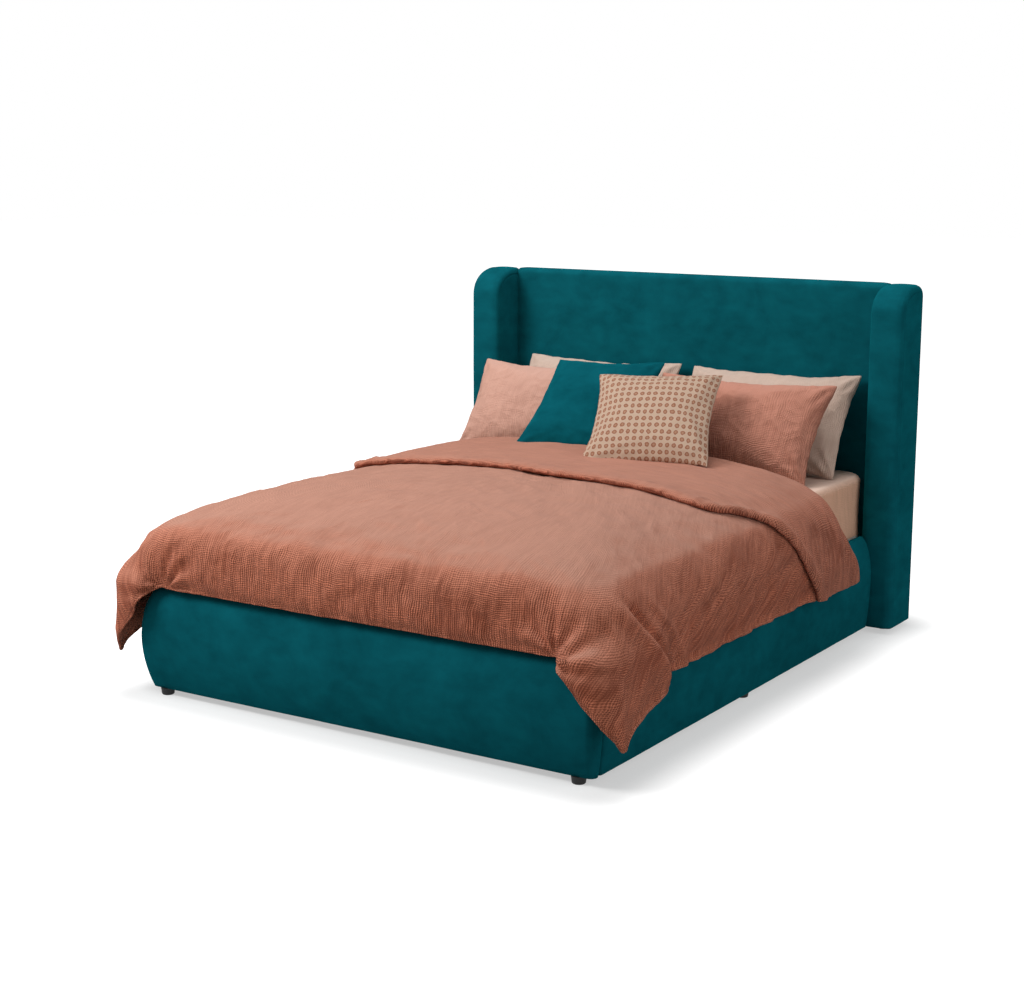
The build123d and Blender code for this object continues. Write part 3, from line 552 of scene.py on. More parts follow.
# Two woven straps run under the slats and keep them apart. They are stapled to each slat and hang
# a little slack in the gaps.
strap_cloth = woven("strap_cloth", (0.055, 0.055, 0.06), 180)
half_slat, strap_steps = 0.045, 260
lower_run = [(-1, 0.15), (-0.96, 0.0), (-0.5, 0.0), (0, 0.0), (0.5, 0.0), (0.96, 0.0), (1, 0.15)]
strap_profile = lower_run + [(-across, 1 - up) for across, up in lower_run]
for side_name in ("left", "right"):
    low, high = node_box(f"webbing_{side_name}")
    half_pitch = (high[1] - low[1] - 2 * half_slat) / 11 / 2
    strap_points = []
    for y in np.linspace(low[1], high[1], strap_steps):
        from_slat = abs((y - low[1] - half_slat + half_pitch) % (2 * half_pitch) - half_pitch)
        sag = 0.0022 * min(1.0, max(0.0, (from_slat - half_slat) / (half_pitch - half_slat))) ** 0.7
        sway = 0.0012 * math.sin(y * 5.1)
        for across, up in strap_profile:
            x = (low[0] + high[0]) / 2 + across * (high[0] - low[0]) / 2 * 0.97 + sway
            strap_points.append((x, y, low[2] + up * (high[2] - low[2]) - sag))
    strap_faces = tube_faces(strap_steps, len(strap_profile))
    strap = sewn(f"slat_strap_{side_name}", strap_points, strap_faces, strap_cloth, "frame")
    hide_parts(f"webbing_{side_name}")


# The mattress: a deep block of springs and foam in pale knitted ticking, with a piped seam round
# its top and bottom edges.
def bed_block(half_width, foot, head, low, high, corner, edge, waist):
    """Rounded rectangle rings from the underside up to the top, with a soft edge."""
    edge_turn = np.linspace(0, quarter, 8)
    profile = [(edge * (1 - math.sin(a)), low + edge * (1 - math.cos(a))) for a in edge_turn]
    side_rise = high - low - 2 * edge
    for share in np.linspace(0, 1, 14)[1:-1]:
        profile.append((waist * math.sin(math.pi * share), low + edge + side_rise * share))
    profile += [(edge * (1 - math.cos(a)), high - edge * (1 - math.sin(a))) for a in edge_turn]
    top_shares = (0.03, 0.08, 0.16, 0.3, 0.5, 0.7, 0.85)
    profile += [(edge + share * half_width, high) for share in top_shares]
    bend_count, straight_count = 16, 24
    rings = []
    for inset, z in profile:
        half, front, back = half_width - inset, foot + inset, head - inset
        r = max(corner - inset, 0.02)
        bends = []
        centres = ((1, back - r), (-1, back - r), (-1, front + r), (1, front + r))
        for number, (side, y) in enumerate(centres):
            for a in np.radians(90 * number + np.linspace(0, 90, bend_count)):
                bends.append((side * (half - r) + r * math.cos(a), y + r * math.sin(a)))
        ring = []
        for number, (x, y) in enumerate(bends):
            next_x, next_y = bends[(number + 1) % len(bends)]
            steps = straight_count if number % bend_count == bend_count - 1 else 1
            for share in np.arange(steps) / steps:
                ring.append((x + (next_x - x) * share, y + (next_y - y) * share, z))
        rings.append(ring)
    return rings


ticking = woven("mattress_ticking", (0.62, 0.60, 0.56), 90)
block = bed_block(0.740, -0.9715, 1.0085, 0.300, 0.550, 0.100, 0.024, 0.004)
block_points = [p for ring in block for p in ring]
block_faces = tube_faces(len(block), len(block[0]))
mattress = sewn("mattress_block", block_points, block_faces, ticking, "mattress")
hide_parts("mattress")


# The fitted sheet: peach cotton muslin pulled over the mattress and gathered by its elastic near
# the underside. Muslin is a loose double cloth that dries in fine crinkles.
def muslin(name, pale, deep, crinkle, crease_shade_strength=1.0):
    """Double cotton gauze: fine crinkles along both threads, with painted light in its colour:
    paler where it looks up and deeper where it hangs, a painted sheen and shade by facing, and
    painted shade in the crinkles' hollows.
    """
    material, tree, cotton = new_material(name)
    place = add(tree, "Attribute", attribute_name="cloth_place").outputs["Vector"]
    wander = fuzz(tree, place, 9, "Color", Detail=3)
    bent = vector(tree, "MULTIPLY_ADD", wander, (0.034, 0.034, 0.0), place)
    raised = []
    for way, pitch, patch_size, share, stretch in (
        ("Y", 44, 7, 1.0, (0.30, 1, 0)),
        ("X", 56, 9, 0.9, (1, 0.30, 0)),
    ):
        run = vector(tree, "MULTIPLY", bent, stretch)
        waves = {"Vector": run, "Scale": pitch, "Distortion": 5.0, "Detail": 3}
        waves.update({"Detail Scale": 0.7, "Detail Roughness": 0.6})
        cords = add(tree, "TexWave", waves, bands_direction=way).outputs["Fac"]
        patch = fuzz(tree, place, patch_size, Detail=3)
        come_and_go = spread(tree, patch, (0.36, 0.62), (0.25 * share, share))
        raised.append(scalar(tree, "MULTIPLY", cords, come_and_go))
    slack = fuzz(tree, vector(tree, "MULTIPLY", bent, (0.2, 1, 0)), 58, Detail=5)
    relief = scalar(tree, "MULTIPLY_ADD", slack, 1.8, scalar(tree, "ADD", *raised))
    depth = spread(tree, relief, (0.85, 2.45))
    upward = add(tree, "SeparateXYZ", {0: add(tree, "NewGeometry").outputs["Normal"]}).outputs["Z"]
    # the colour by facing: pale on faces that look up and deep on hanging ones, a painted sheen on
    # the top and painted shade on the sides over the cloth's dye
    part_way = [0.5 * p + 0.5 * d * 0.94 for p, d in zip(pale, deep)]
    dye_and_facing_shade = ramp(tree, upward, (0.02, deep), (0.72, part_way), (0.96, pale))
    patches = fuzz(tree, place, 4, Detail=5)
    # painted shade in the crinkles' hollows, mixed with random blotches of the cloth's own tone
    crease_depth_and_blotches = add(tree, "Mix", {"Factor": 0.35, "A": depth, "B": patches}).outputs["Result"]
    crease_shade_and_blotches = ramp(tree, crease_depth_and_blotches, (0.26, (0.42, 0.355, 0.33)), (0.58, (1, 1, 1)))
    # the painted crease shade is multiplied in fully on hanging faces and a quarter as much on
    # faces that look up
    hanging = spread(tree, upward, (0.3, 0.98), (crease_shade_strength, 0.25 * crease_shade_strength))
    # a Mix node takes its two colours at inputs 6 and 7 and gives a colour at output 2
    shades = {"Factor": hanging, 6: dye_and_facing_shade, 7: crease_shade_and_blotches}
    strength = spread(tree, upward, wanted=(crinkle, 0.3 * crinkle))
    feed(cotton, {
        "Base Color": add(tree, "Mix", shades, data_type="RGBA", blend_type="MULTIPLY").outputs[2],
        "Roughness": 0.9,
        "Specular IOR Level": 0.05,
        "Sheen Weight": 0.06,
        "Sheen Roughness": 0.5,
        "Normal": bump(tree, depth, strength, 0.0062),
    })
    return material


def lay_cloth(made, places, kept_as="cloth_place"):
    """Keeps where each point lies in its flat cloth, so that a pattern follows the threads."""
    kept = made.data.attributes.new(kept_as, "FLOAT_VECTOR", "POINT")
    kept.data.foreach_set("vector", np.asarray(places, dtype=np.float32).ravel())


# its first colour shows on faces that look up and its second on hanging faces, a painted sheen and
# shade by facing; its last number sets the painted shade in the crinkles' hollows
sheet_muslin = muslin("sheet_muslin", (0.80, 0.58, 0.47), (0.80, 0.47, 0.32), 0.3, 0.3)
cover = bed_block(0.7412, -0.9727, 1.0097, 0.300, 0.5512, 0.101, 0.025, 0.003)
elastic_height = 0.335
cover_rings = [ring for ring in cover if ring[0][2] > elastic_height]
cover_points = np.array([p for ring in cover_rings for p in ring])
ripple = ruffle(cover_points * (1, 1, 0.3), 0.03, 31)
outer = np.clip((0.50 - cover_points[:, 2]) / 0.15, 0, 1)
outward = cover_points[:, :2] / np.linalg.norm(cover_points[:, :2], axis=1)[:, None]
cover_points[:, :2] += outward * (0.0012 * ripple * outer)[:, None]
cover_points[:, 2] += 0.0006 * ruffle(cover_points, 0.09, 33) * (cover_points[:, 2] > 0.549)
# the sheet is open underneath
cover_faces = tube_faces(len(cover_rings), len(cover_rings[0]))
del cover_faces[-2]
sheet = sewn("fitted_sheet_cloth", cover_points, cover_faces, sheet_muslin, "mattress")
lay_cloth(sheet, cover_points * (1, 1, 0) + cover_points[:, 2:] * (1, 0.3, 0))
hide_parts("fitted_sheet")

# The duvet: a quilt in a crinkled muslin cover, thrown over the bed. Its sides hang outside the
# rails, its foot is tucked behind the foot panel, and its two foot corners hang out in points.
# its first colour shows on the top and its second on the hanging sides, a painted sheen and shade
# by facing
duvet_muslin = muslin("duvet_muslin", (0.476, 0.238, 0.172), (0.66, 0.212, 0.120), 1.0)
# the quilt's plan by height: half its width, its foot and head edges and its corners' radius
plan_by_level = np.array([
    (0.120, 0.846, -1.030, 0.6535, 0.045),
    (0.160, 0.847, -1.030, 0.6535, 0.050),
    (0.200, 0.848, -1.030, 0.6535, 0.060),
    (0.250, 0.849, -1.031, 0.6535, 0.080),
    (0.326, 0.858, -1.043, 0.5768, 0.095),
    (0.4096, 0.851, -1.0447, 0.5086, 0.105),
    (0.4856, 0.830, -1.0345, 0.4694, 0.120),
    (0.5369, 0.797, -1.0055, 0.4574, 0.145),
    (0.573, 0.724, -0.9407, 0.4574, 0.175),
    (0.5939, 0.659, -0.864, 0.4523, 0.205),
    (0.6091, 0.586, -0.7787, 0.4455, 0.235),
    (0.6200, 0.500, -0.690, 0.441, 0.250),
    (0.6290, 0.400, -0.590, 0.437, 0.250),
    (0.6350, 0.290, -0.480, 0.434, 0.200),
    (0.6395, 0.160, -0.36, 0.431, 0.120),
    (0.6420, 0.0, -0.200, 0.430, 0.0),
])
levels, halves, foots, heads, corners = plan_by_level.T
level_place = np.concatenate([[0], np.cumsum(np.hypot(np.diff(levels), np.diff(halves)))])
# the hanging corners' points by height: how far out and how far forward
point_levels = [0.120, 0.160, 0.200, 0.250, 0.300, 0.352, 0.400, 0.450]
point_outs = [0.899, 0.898, 0.894, 0.890, 0.886, 0.878, 0.862, 0.843]
point_fronts = [-1.056, -1.078, -1.090, -1.096, -1.096, -1.088, -1.062, -1.040]
# how low the hem hangs along the outline, from the middle of the foot round to the head
hem_across = [0.0, 0.690, 0.706, 0.716, 0.736, 0.770, 0.789, 0.815, 0.840, 0.866, 0.888]
across_heights = [0.352, 0.352, 0.356, 0.358, 0.343, 0.316, 0.280, 0.238, 0.205, 0.165, 0.128]
hem_along = [-1.070, -1.045, -1.030, -0.950, -0.880, -0.810, -0.735, -0.712, -0.700, -0.400, 0.7]
along_heights = [0.126, 0.118, 0.123, 0.164, 0.194, 0.211, 0.223, 0.229, 0.251, 0.254, 0.250]


def smooth_step(low, high, value):
    """0 below low, 1 above high, smooth between."""
    share = np.clip((value - low) / (high - low), 0, 1)
    return share * share * (3 - 2 * share)


def swell(value, middle, width):
    """A smooth swelling of 1 at its middle, about that wide."""
    return np.exp(-(((value - middle) / width) ** 2))


def eased(table, place):
    """A table read smoothly between its levels."""
    fine = np.interp(place[:, None] + np.linspace(-0.022, 0.022, 9)[None, :], level_place, table)
    return fine.mean(axis=1)


def softened(values, width):
    """Values blurred along their line over an odd number of steps."""
    kernel = np.hanning(width) / np.hanning(width).sum()
    return np.convolve(np.pad(values, width // 2, mode="edge"), kernel, mode="valid")


def there_and_back(run, middle):
    """What holds for each fibre: the left side's, the foot's, and the left side's mirrored."""
    return np.concatenate([run, middle, run[::-1]])


side_count, arc_count, foot_count, rise_count, low_count = 210, 34, 250, 120, 46
side_shares = np.linspace(0, 1, side_count, endpoint=False)
arc = np.linspace(0, quarter, arc_count, endpoint=False)
side_zeros, side_ones = np.zeros(side_count), np.ones(side_count)
foot_zeros, foot_ones = np.zeros(foot_count), np.ones(foot_count)
# each fibre's place round the outline, from the left head round the foot to the right head
down_side = there_and_back(np.concatenate([side_shares, np.ones(arc_count)]), foot_ones)
bend_in = there_and_back(np.concatenate([side_zeros, 1 - np.cos(arc)]), foot_ones)
bend_back = there_and_back(np.concatenate([side_ones, 1 - np.sin(arc)]), foot_zeros)
half_sides = np.ones(side_count + arc_count)
swing = np.concatenate([-half_sides, np.linspace(-1, 1, foot_count), half_sides])
fibres = len(swing)


def outline_at(height_place):
    """Plan points of the duvet, one to each fibre, for an array of places up its profile."""
    half, foot = eased(halves, height_place), eased(foots, height_place)
    head, corner = eased(heads, height_place), eased(corners, height_place)
    height = eased(levels, height_place)
    x = swing * (half - corner * bend_in)
    y = head + (foot + corner * bend_back - head) * down_side
    # below the mattress's top the corners swing out round the foot panel
    out = np.interp(height, point_levels, point_outs)
    ahead = np.interp(height, point_levels, point_fronts)
    low = 1 - smooth_step(0.36, 0.46, height)
    side_pull = (1 - smooth_step(-0.80, -0.69, y)) * smooth_step(0.72, 0.82, np.abs(x)) * low
    x = np.where(np.abs(x) > 0.6, np.sign(x) * (np.abs(x) + (out - half) * side_pull), x)
    front_pull = smooth_step(0.695, 0.745, np.abs(x)) * (1 - smooth_step(-0.98, -0.86, y)) * low
    y = y + (ahead - foot) * front_pull
    # the left foot corner billows out further than the right one
    billow = 0.042 * swell(height, 0.40, 0.11) + 0.010 * low
    near_corner = smooth_step(0.55, 0.80, np.abs(x)) * (1 - smooth_step(-0.85, -0.30, y))
    return x - billow * (x < -0.5) * near_corner, y, height


# the hem's height for each fibre, found from where the fibre lands low down
start_x, start_y, _ = outline_at(np.full(fibres, level_place[3]))
foot_side = (start_y < -1.062) | ((np.abs(start_x) < 0.80) & (start_y < -0.98))
hem_by_foot = np.interp(np.abs(start_x), hem_across, across_heights)
hem_by_side = np.interp(start_y, hem_along, along_heights)
hem = softened(np.where(foot_side, hem_by_foot, hem_by_side), 7)
hem_place, top_place = np.interp(hem, levels, level_place), np.interp(0.47, levels, level_place)
low_run = top_place - hem_place
seam_steps = 1.1 * np.array([0, 0.0018, 0.0036, 0.0056, 0.0078, 0.0104, 0.0135, 0.018])[:, None]
low_steps = 0.026 + (low_run - 0.026) * np.linspace(0, 1, low_count - len(seam_steps))[:, None]
low_places = hem_place + np.concatenate([seam_steps + 0 * low_run, low_steps])
high_places = np.linspace(top_place, level_place[-1], rise_count - low_count + 1)[1:]
rise_places = np.concatenate([low_places, high_places[:, None] + 0 * low_run])
duvet_points = np.array([np.stack(outline_at(place), axis=1) for place in rise_places])
duvet_points[-1, :, 0] = 0
duvet_points[-1, :, 1] = np.clip(duvet_points[-1, :, 1], -0.2, 0.43)

ring_steps = np.linalg.norm(np.diff(duvet_points, axis=1), axis=2)
ring_places = np.concatenate([np.zeros((rise_count, 1)), np.cumsum(ring_steps, axis=1)], axis=1)
ring_places -= ring_places[:, fibres // 2][:, None]
cloth_places = np.stack([rise_places, ring_places, 0 * rise_places], axis=2)
along_rise, along_ring = np.gradient(duvet_points, axis=0), np.gradient(duvet_points, axis=1)
outward = np.cross(along_ring, along_rise)
outward /= np.maximum(np.linalg.norm(outward, axis=2), 1e-9)[:, :, None]
outward[-6:] = (0, 0, 1)
flat_points = duvet_points.reshape(-1, 3)
x_side, y_side, z_side = np.abs(flat_points[:, 0]), flat_points[:, 1], flat_points[:, 2]


def hanging_folds(points):
    """Vertical folds, and how much a point hangs rather than lies."""
    drawn = (0.4, 1, 0.22)
    folds = uneven(points, (1, drawn, 0.085, 41), (0.6, drawn, 0.045, 42))
    return folds, 1 - smooth_step(0.40, 0.60, points[:, 2])


def soft_hills(points):
    """Soft hills all over a quilt, where its filling has shifted."""
    return uneven(points, (1, (1, 1, 0.6), 0.24, 43), (0.5, 1, 0.11, 44))


def ridges(points, stretch, size, seed):
    """Narrow creases that stand up, with wide hollows between."""
    return 1 - np.abs(ruffle(points * stretch, size, seed)) * 2.2


folds, hang = hanging_folds(flat_points)
corner_folds = 0.35 + 0.65 * smooth_step(-0.76, -0.64, y_side)
relief = 0.0088 * folds * hang * smooth_step(0.6, 0.75, x_side) * corner_folds
relief += 0.0060 * soft_hills(flat_points) + 0.0008 * ruffle(flat_points, 0.022, 47)
relief += 0.0036 * ridges(flat_points, (1, 1.25, 0.5), 0.13, 45)
relief += 0.0018 * ridges(flat_points, (1.0, 1.15, 0.6), 0.055, 46)
# pinched creases over the middle of the top, below the turned-back band
pinch = np.clip(1 - 3.2 * np.abs(ruffle(flat_points * (0.9, 1.5, 0.5), 0.062, 48)), 0, 1) ** 2
pinch_patch = np.clip(0.35 + 1.3 * ruffle(flat_points, 0.30, 49), 0, 1)
relief += 0.0034 * pinch * pinch_patch * smooth_step(0.55, 0.60, z_side)
relief += 0.004 * folds * hang * (y_side < -0.99)
# the fold that runs up from where the hem steps, and the gathers where the corner leaves the panel
fold_away = y_side + 0.70 + 0.85 * (z_side - 0.25)
fold_reach = smooth_step(0.80, 0.84, x_side) * (1 - smooth_step(0.42, 0.58, z_side))
folded = 0.011 * swell(fold_away, -0.045, 0.030) - 0.016 * swell(fold_away, 0, 0.018)
folded += 0.006 * swell(fold_away, 0.10, 0.022) * (z_side > 0.2)
relief += fold_reach * folded
gather_x, gather_z = x_side - 0.700, z_side - 0.350
gather_reach, gather_turn = np.hypot(gather_x, gather_z), np.arctan2(gather_z, gather_x)
gather_fade = swell(gather_reach, 0.05, 0.10) * smooth_step(0.01, 0.05, gather_reach)
gather_fade *= 1 - smooth_step(-1.0, -0.95, y_side)
relief += 0.0066 * np.sin(10 * gather_turn + 0.6 * np.sin(30 * gather_reach)) * gather_fade
# the hem's seam, which the foot panel hides where the hem is tucked in behind it
above_hem = rise_places - hem_place
seam_places = above_hem.ravel()
tucked = (1 - smooth_step(0.66, 0.72, x_side)) * (y_side < -0.95)
seam = 0.0012 * swell(seam_places, 0.002, 0.003) - 0.0016 * swell(seam_places, 0.0088, 0.0022)
relief += (1 - tucked) * seam - tucked * 0.006 * swell(seam_places, 0, 0.016)
# the skins stand a quilt's thickness apart, and nothing sinks into the base or the mattress
quilt = 0.020 * (0.3 + 0.7 * smooth_step(0.0, 0.07, above_hem))
relief = np.maximum(relief, -0.62 * quilt.ravel()).reshape(quilt.shape)
outer_skin = duvet_points + outward * relief[:, :, None]
half_hem = 0.003
hem_in = half_hem * outward[0]
hem_down = half_hem * along_rise[0] / np.linalg.norm(along_rise[0], axis=1)[:, None]
hem_turn = np.linspace(0, math.pi, 7)[1:-1]
hem_round = [outer_skin[0] - hem_in * (1 - math.cos(a)) - hem_down * math.sin(a) for a in hem_turn]
inner_skin = outer_skin - outward * quilt[:, :, None]
on_mattress = np.minimum(inner_skin[:, :, 2], 0.5525)
inner_skin[:, :, 2] = np.where(outer_skin[:, :, 2] > 0.57, on_mattress, inner_skin[:, :, 2])
shell = np.concatenate([inner_skin[::-1], hem_round[::-1], outer_skin])
shell_faces = grid_faces(len(shell), fibres)
# the head edge closes each side of the skin between its inner and outer layers
outer_start = len(shell) - rise_count
for fibre in (0, fibres - 1):
    for step in range(rise_count - 1):
        inner, outer = rise_count - 1 - step, outer_start + step
        closing = tuple(row * fibres + fibre for row in (inner, inner - 1, outer + 1, outer))
        shell_faces.append(closing if fibre else closing[::-1])
duvet = sewn("duvet_quilt", shell.reshape(-1, 3), shell_faces, duvet_muslin, "duvet")
hem_places = np.repeat(cloth_places[:1], len(hem_round), axis=0)
lay_cloth(duvet, np.concatenate([cloth_places[::-1], hem_places, cloth_places]).reshape(-1, 3))
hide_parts("duvet")

# The turned-back band: the duvet's head end is folded back over itself in one deep soft fold, so a
# second layer lies on top with a rounded edge, and hangs down the sides.
# its first colour shows on the top and its second on the hanging sides, a painted sheen and shade
# by facing
band_muslin = muslin("band_muslin", (0.468, 0.212, 0.147), (0.62, 0.222, 0.138), 1.0)
# the band by height: where its rounded edge and its head end lie
band_by_level = np.array([
    (0.246, 0.330, 0.660),
    (0.300, 0.285, 0.625),
    (0.350, 0.250, 0.580),
    (0.400, 0.210, 0.530),
    (0.450, 0.160, 0.492),
    (0.500, 0.110, 0.468),
    (0.540, 0.060, 0.462),
    (0.566, 0.000, 0.464),
    (0.580, -0.080, 0.466),
    (0.595, -0.120, 0.468),
    (0.610, -0.118, 0.470),
    (0.630, -0.098, 0.474),
    (0.642, -0.092, 0.476),
])
band_levels, band_foots, band_heads = band_by_level.T
half_arch = np.linspace(level_place[3], level_place[-1], 170)
arch_x, arch_z = eased(halves, half_arch), eased(levels, half_arch)
arch = np.stack([np.append(-arch_x, arch_x[-2::-1]), np.append(arch_z, arch_z[-2::-1])], axis=1)
arch_run = np.gradient(arch, axis=0)
arch_run /= np.linalg.norm(arch_run, axis=1)[:, None]
arch_out = np.stack([-arch_run[:, 1], 0 * arch_run[:, 0], arch_run[:, 0]], axis=1)
left_lag = np.where(arch[:, 0] < 0, 0.012, 0.0)
edge_y = softened(np.interp(arch[:, 1], band_levels, band_foots) + left_lag, 21)
head_y = softened(np.interp(arch[:, 1], band_levels, band_heads), 21)
band_thickness, band_roll, roll_radius, lowest = 0.015, 0.029, 0.024, 0.001
# rows from the rounded edge to the head: share of the way, distance ahead, lift off the quilt
stations = [(0.0, 0.030, -0.004), (0.0, 0.004, 0.000)]
for a in np.linspace(-quarter, quarter, 13):
    stations.append((0.0, -0.034 * math.cos(a), lowest + band_roll / 2 * (1 + math.sin(a))))
for share in np.linspace(0, 1, 74)[1:]:
    sunk = 0.012 * (1 - math.exp(-12 * share)) - 0.003 * share
    stations.append((share, 0.0, lowest + band_roll - sunk))
crest = 0.006 + band_thickness
for a in np.linspace(0, math.pi, 12)[1:]:
    stations.append((1.0, roll_radius * math.sin(a), crest - roll_radius * (1 - math.cos(a))))
stations.append((1.0, -0.05, crest - 2 * roll_radius + 0.004))
share, ahead, lift = np.array(stations).T[:, :, None]
band_run = edge_y + (head_y - roll_radius - edge_y) * share + ahead
band_rows = [arch[:, 0] + arch_out[:, 0] * lift, band_run, arch[:, 1] + arch_out[:, 2] * lift]
band_points = np.stack(band_rows, axis=2).reshape(-1, 3)
shown_row = np.where((lift > 0.006) & (share < 1.0), 1.0, np.where(lift > 0.0, 0.6, 0.0))
shown_row, from_edge = np.repeat(shown_row, len(arch)), np.repeat(share, len(arch))
band_out = np.tile(arch_out, (len(stations), 1))
folds, hang = hanging_folds(band_points)
wrinkles = 0.0075 * folds * hang + 0.0042 * soft_hills(band_points)
wrinkles += 0.0026 * ridges(band_points, (0.8, 1.6, 0.5), 0.09, 55)
wrinkles += 0.0010 * ruffle(band_points * (0.6, 1.5, 0.6), 0.028, 56)
band_points += band_out * (np.maximum(wrinkles, -0.006) * shown_row)[:, None]
near_edge = swell(from_edge, 0, 0.10) * (1 - hang)
edge_wrinkles = 0.0036 * ruffle(band_points * (1.5, 0.5, 1), 0.035, 57)
band_points += band_out * (edge_wrinkles * near_edge * shown_row)[:, None]
level_line = (1, 0, 1)
edge_sway = uneven(band_points, (0.010, level_line, 0.22, 58), (0.004, level_line, 0.07, 59))
band_points[:, 1] += edge_sway * (1 - from_edge)
band_faces = grid_faces(len(stations), len(arch))
band = sewn("duvet_turned_band", band_points, band_faces, band_muslin, "duvet")
arch_place = np.concatenate([[0], np.cumsum(np.hypot(*np.diff(arch, axis=0).T))])
cloth_across, cloth_up = np.tile(arch_place, len(stations)), band_points[:, 1] + 3
lay_cloth(band, np.stack([cloth_across, cloth_up, 0 * cloth_up], axis=1))


# The pillows and cushions: two panels sewn round their edges and stuffed. Each is blown up as
# cloth from its flat panels, so that its seams pucker and its corners stay as ears.
def stuffed(width, height, rise, spacing, firmness):
    """A pillow lying at the origin: two sewn panels, domed, then blown a little as cloth."""
    columns, rows = int(width / spacing), int(height / spacing)
    across, up = np.linspace(-1, 1, columns + 1), np.linspace(-1, 1, rows + 1)
    front, back, points, flat = {}, {}, [], []
    for side, numbers in ((1, front), (-1, back)):
        for j, v in enumerate(up):
            for i, u in enumerate(across):
                if side < 0 and (i in (0, columns) or j in (0, rows)):
                    back[(i, j)] = front[(i, j)]
                    continue
                numbers[(i, j)] = len(points)
                in_u, in_v = 1 - abs(u), 1 - abs(v)
                hollow = 0.095 * (1 - min(abs(u), abs(v)) ** 2)
                dome = max(0.0, (1 - abs(u) ** 2.3) * (1 - abs(v) ** 2.3)) ** 0.68
                from_corner = math.hypot(in_u * width / 2, in_v * height / 2)
                aim = math.atan2(in_v * height, in_u * width)
                drag = math.sin(11 * aim + 3 * u + 2 * v + side)
                drag *= math.exp(-(((from_corner - 0.07) / 0.06) ** 2))
                dome += 0.055 * drag * min(1.0, 6 * dome)
                blunt = 0.030 * (u * v) ** 8
                x = u * width / 2 * (1 - (hollow * abs(u) ** 5 + blunt) * height / width)
                y = v * height / 2 * (1 - hollow * abs(v) ** 5 - blunt)
                points.append((x, y, side * rise * min(dome, 1.0)))
                flat.append((u * width / 2, v * height / 2, 0))
    faces = []
    for j in range(rows):
        for i in range(columns):
            square = ((i, j), (i + 1, j), (i + 1, j + 1), (i, j + 1))
            faces.append(tuple(front[corner] for corner in square))
            faces.append(tuple(back[square[number]] for number in (0, 3, 2, 1)))
    points, flat = np.array(points), np.array(flat)
    mesh = bpy.data.meshes.new("panels")
    mesh.from_pydata([tuple(p) for p in points], [], faces)
    panels = put_in("panels", mesh)
    cloth = panels.modifiers.new("cloth", "CLOTH")
    cloth.settings.use_pressure = True
    cloth.settings.uniform_pressure_force = firmness
    cloth.settings.shrink_min = -0.035
    cloth.settings.quality = 5
    cloth.settings.mass = 0.3
    cloth.settings.tension_stiffness = 20
    cloth.settings.compression_stiffness = 20
    cloth.settings.shear_stiffness = 8
    cloth.settings.bending_stiffness = 0.08
    cloth.settings.effector_weights.gravity = 0
    cloth.collision_settings.use_collision = False
    cloth.point_cache.frame_start, cloth.point_cache.frame_end = 1, 20
    for frame_number in range(1, 21):
        bpy.context.scene.frame_set(frame_number)
    blown = panels.evaluated_get(bpy.context.evaluated_depsgraph_get())
    moves = np.array([v.co[:] for v in blown.data.vertices]) - points
    bpy.context.scene.frame_set(1)
    bpy.data.objects.remove(panels)
    bpy.data.meshes.remove(mesh)
    # the cloth moves each point a little at most, and stays inside the pillow's own size
    most = 0.011
    length = np.maximum(np.linalg.norm(moves, axis=1), 1e-9)[:, None]
    points = points + moves / length * (most * np.tanh(length / most))
    limits = np.array([width / 2, height / 2, rise])
    points *= np.minimum(1, limits / np.abs(points).max(axis=0))
    return np.clip(points, -limits, limits), faces, flat


def stand(points, foot_point, lean, yaw, turn, height):
    """Points of a pillow made lying down, stood on its lower seam and leant back."""
    lean, yaw, turn = math.radians(lean), math.radians(yaw), math.radians(turn)
    across = Vector((math.cos(yaw), math.sin(yaw), 0))
    back = Vector((-math.sin(yaw), math.cos(yaw), 0))
    up = back * math.sin(lean) + Vector((0, 0, 1)) * math.cos(lean)
    front = across.cross(up)
    turned = Matrix.Rotation(turn, 3, front)
    axes = np.array([(turned @ across)[:], (turned @ up)[:], front[:]])
    return (points + (0, height / 2, 0)) @ axes + np.array(foot_point)


def smoothed(made, times):
    """Subdivides a piece and keeps the result in its mesh."""
    modifier = made.modifiers.new("smooth", "SUBSURF")
    modifier.levels = modifier.render_levels = times
    bpy.context.view_layer.update()
    evaluated = made.evaluated_get(bpy.context.evaluated_depsgraph_get())
    mesh = bpy.data.meshes.new_from_object(evaluated)
    made.modifiers.clear()
    old = made.data
    made.data = mesh
    bpy.data.meshes.remove(old)
    mesh.polygons.foreach_set("use_smooth", [True] * len(mesh.polygons))


def crumple(made, size, deep, seed, low=None):
    """Moves a piece's points in and out by soft creases, and keeps it above a level."""
    mesh = made.data
    points = np.array([v.co[:] for v in mesh.vertices])
    normals = np.array([v.normal[:] for v in mesh.vertices])
    creases = ruffle(points, size, seed) + 0.4 * ridges(points, (1, 1, 1.3), size * 0.42, seed + 1)
    creases += 0.16 * ruffle(points, size * 0.14, seed + 2)
    points += normals * (deep * creases)[:, None]
    if low is not None:
        points[:, 2] = np.maximum(points[:, 2], low)
    mesh.vertices.foreach_set("co", points.ravel())
    mesh.update()
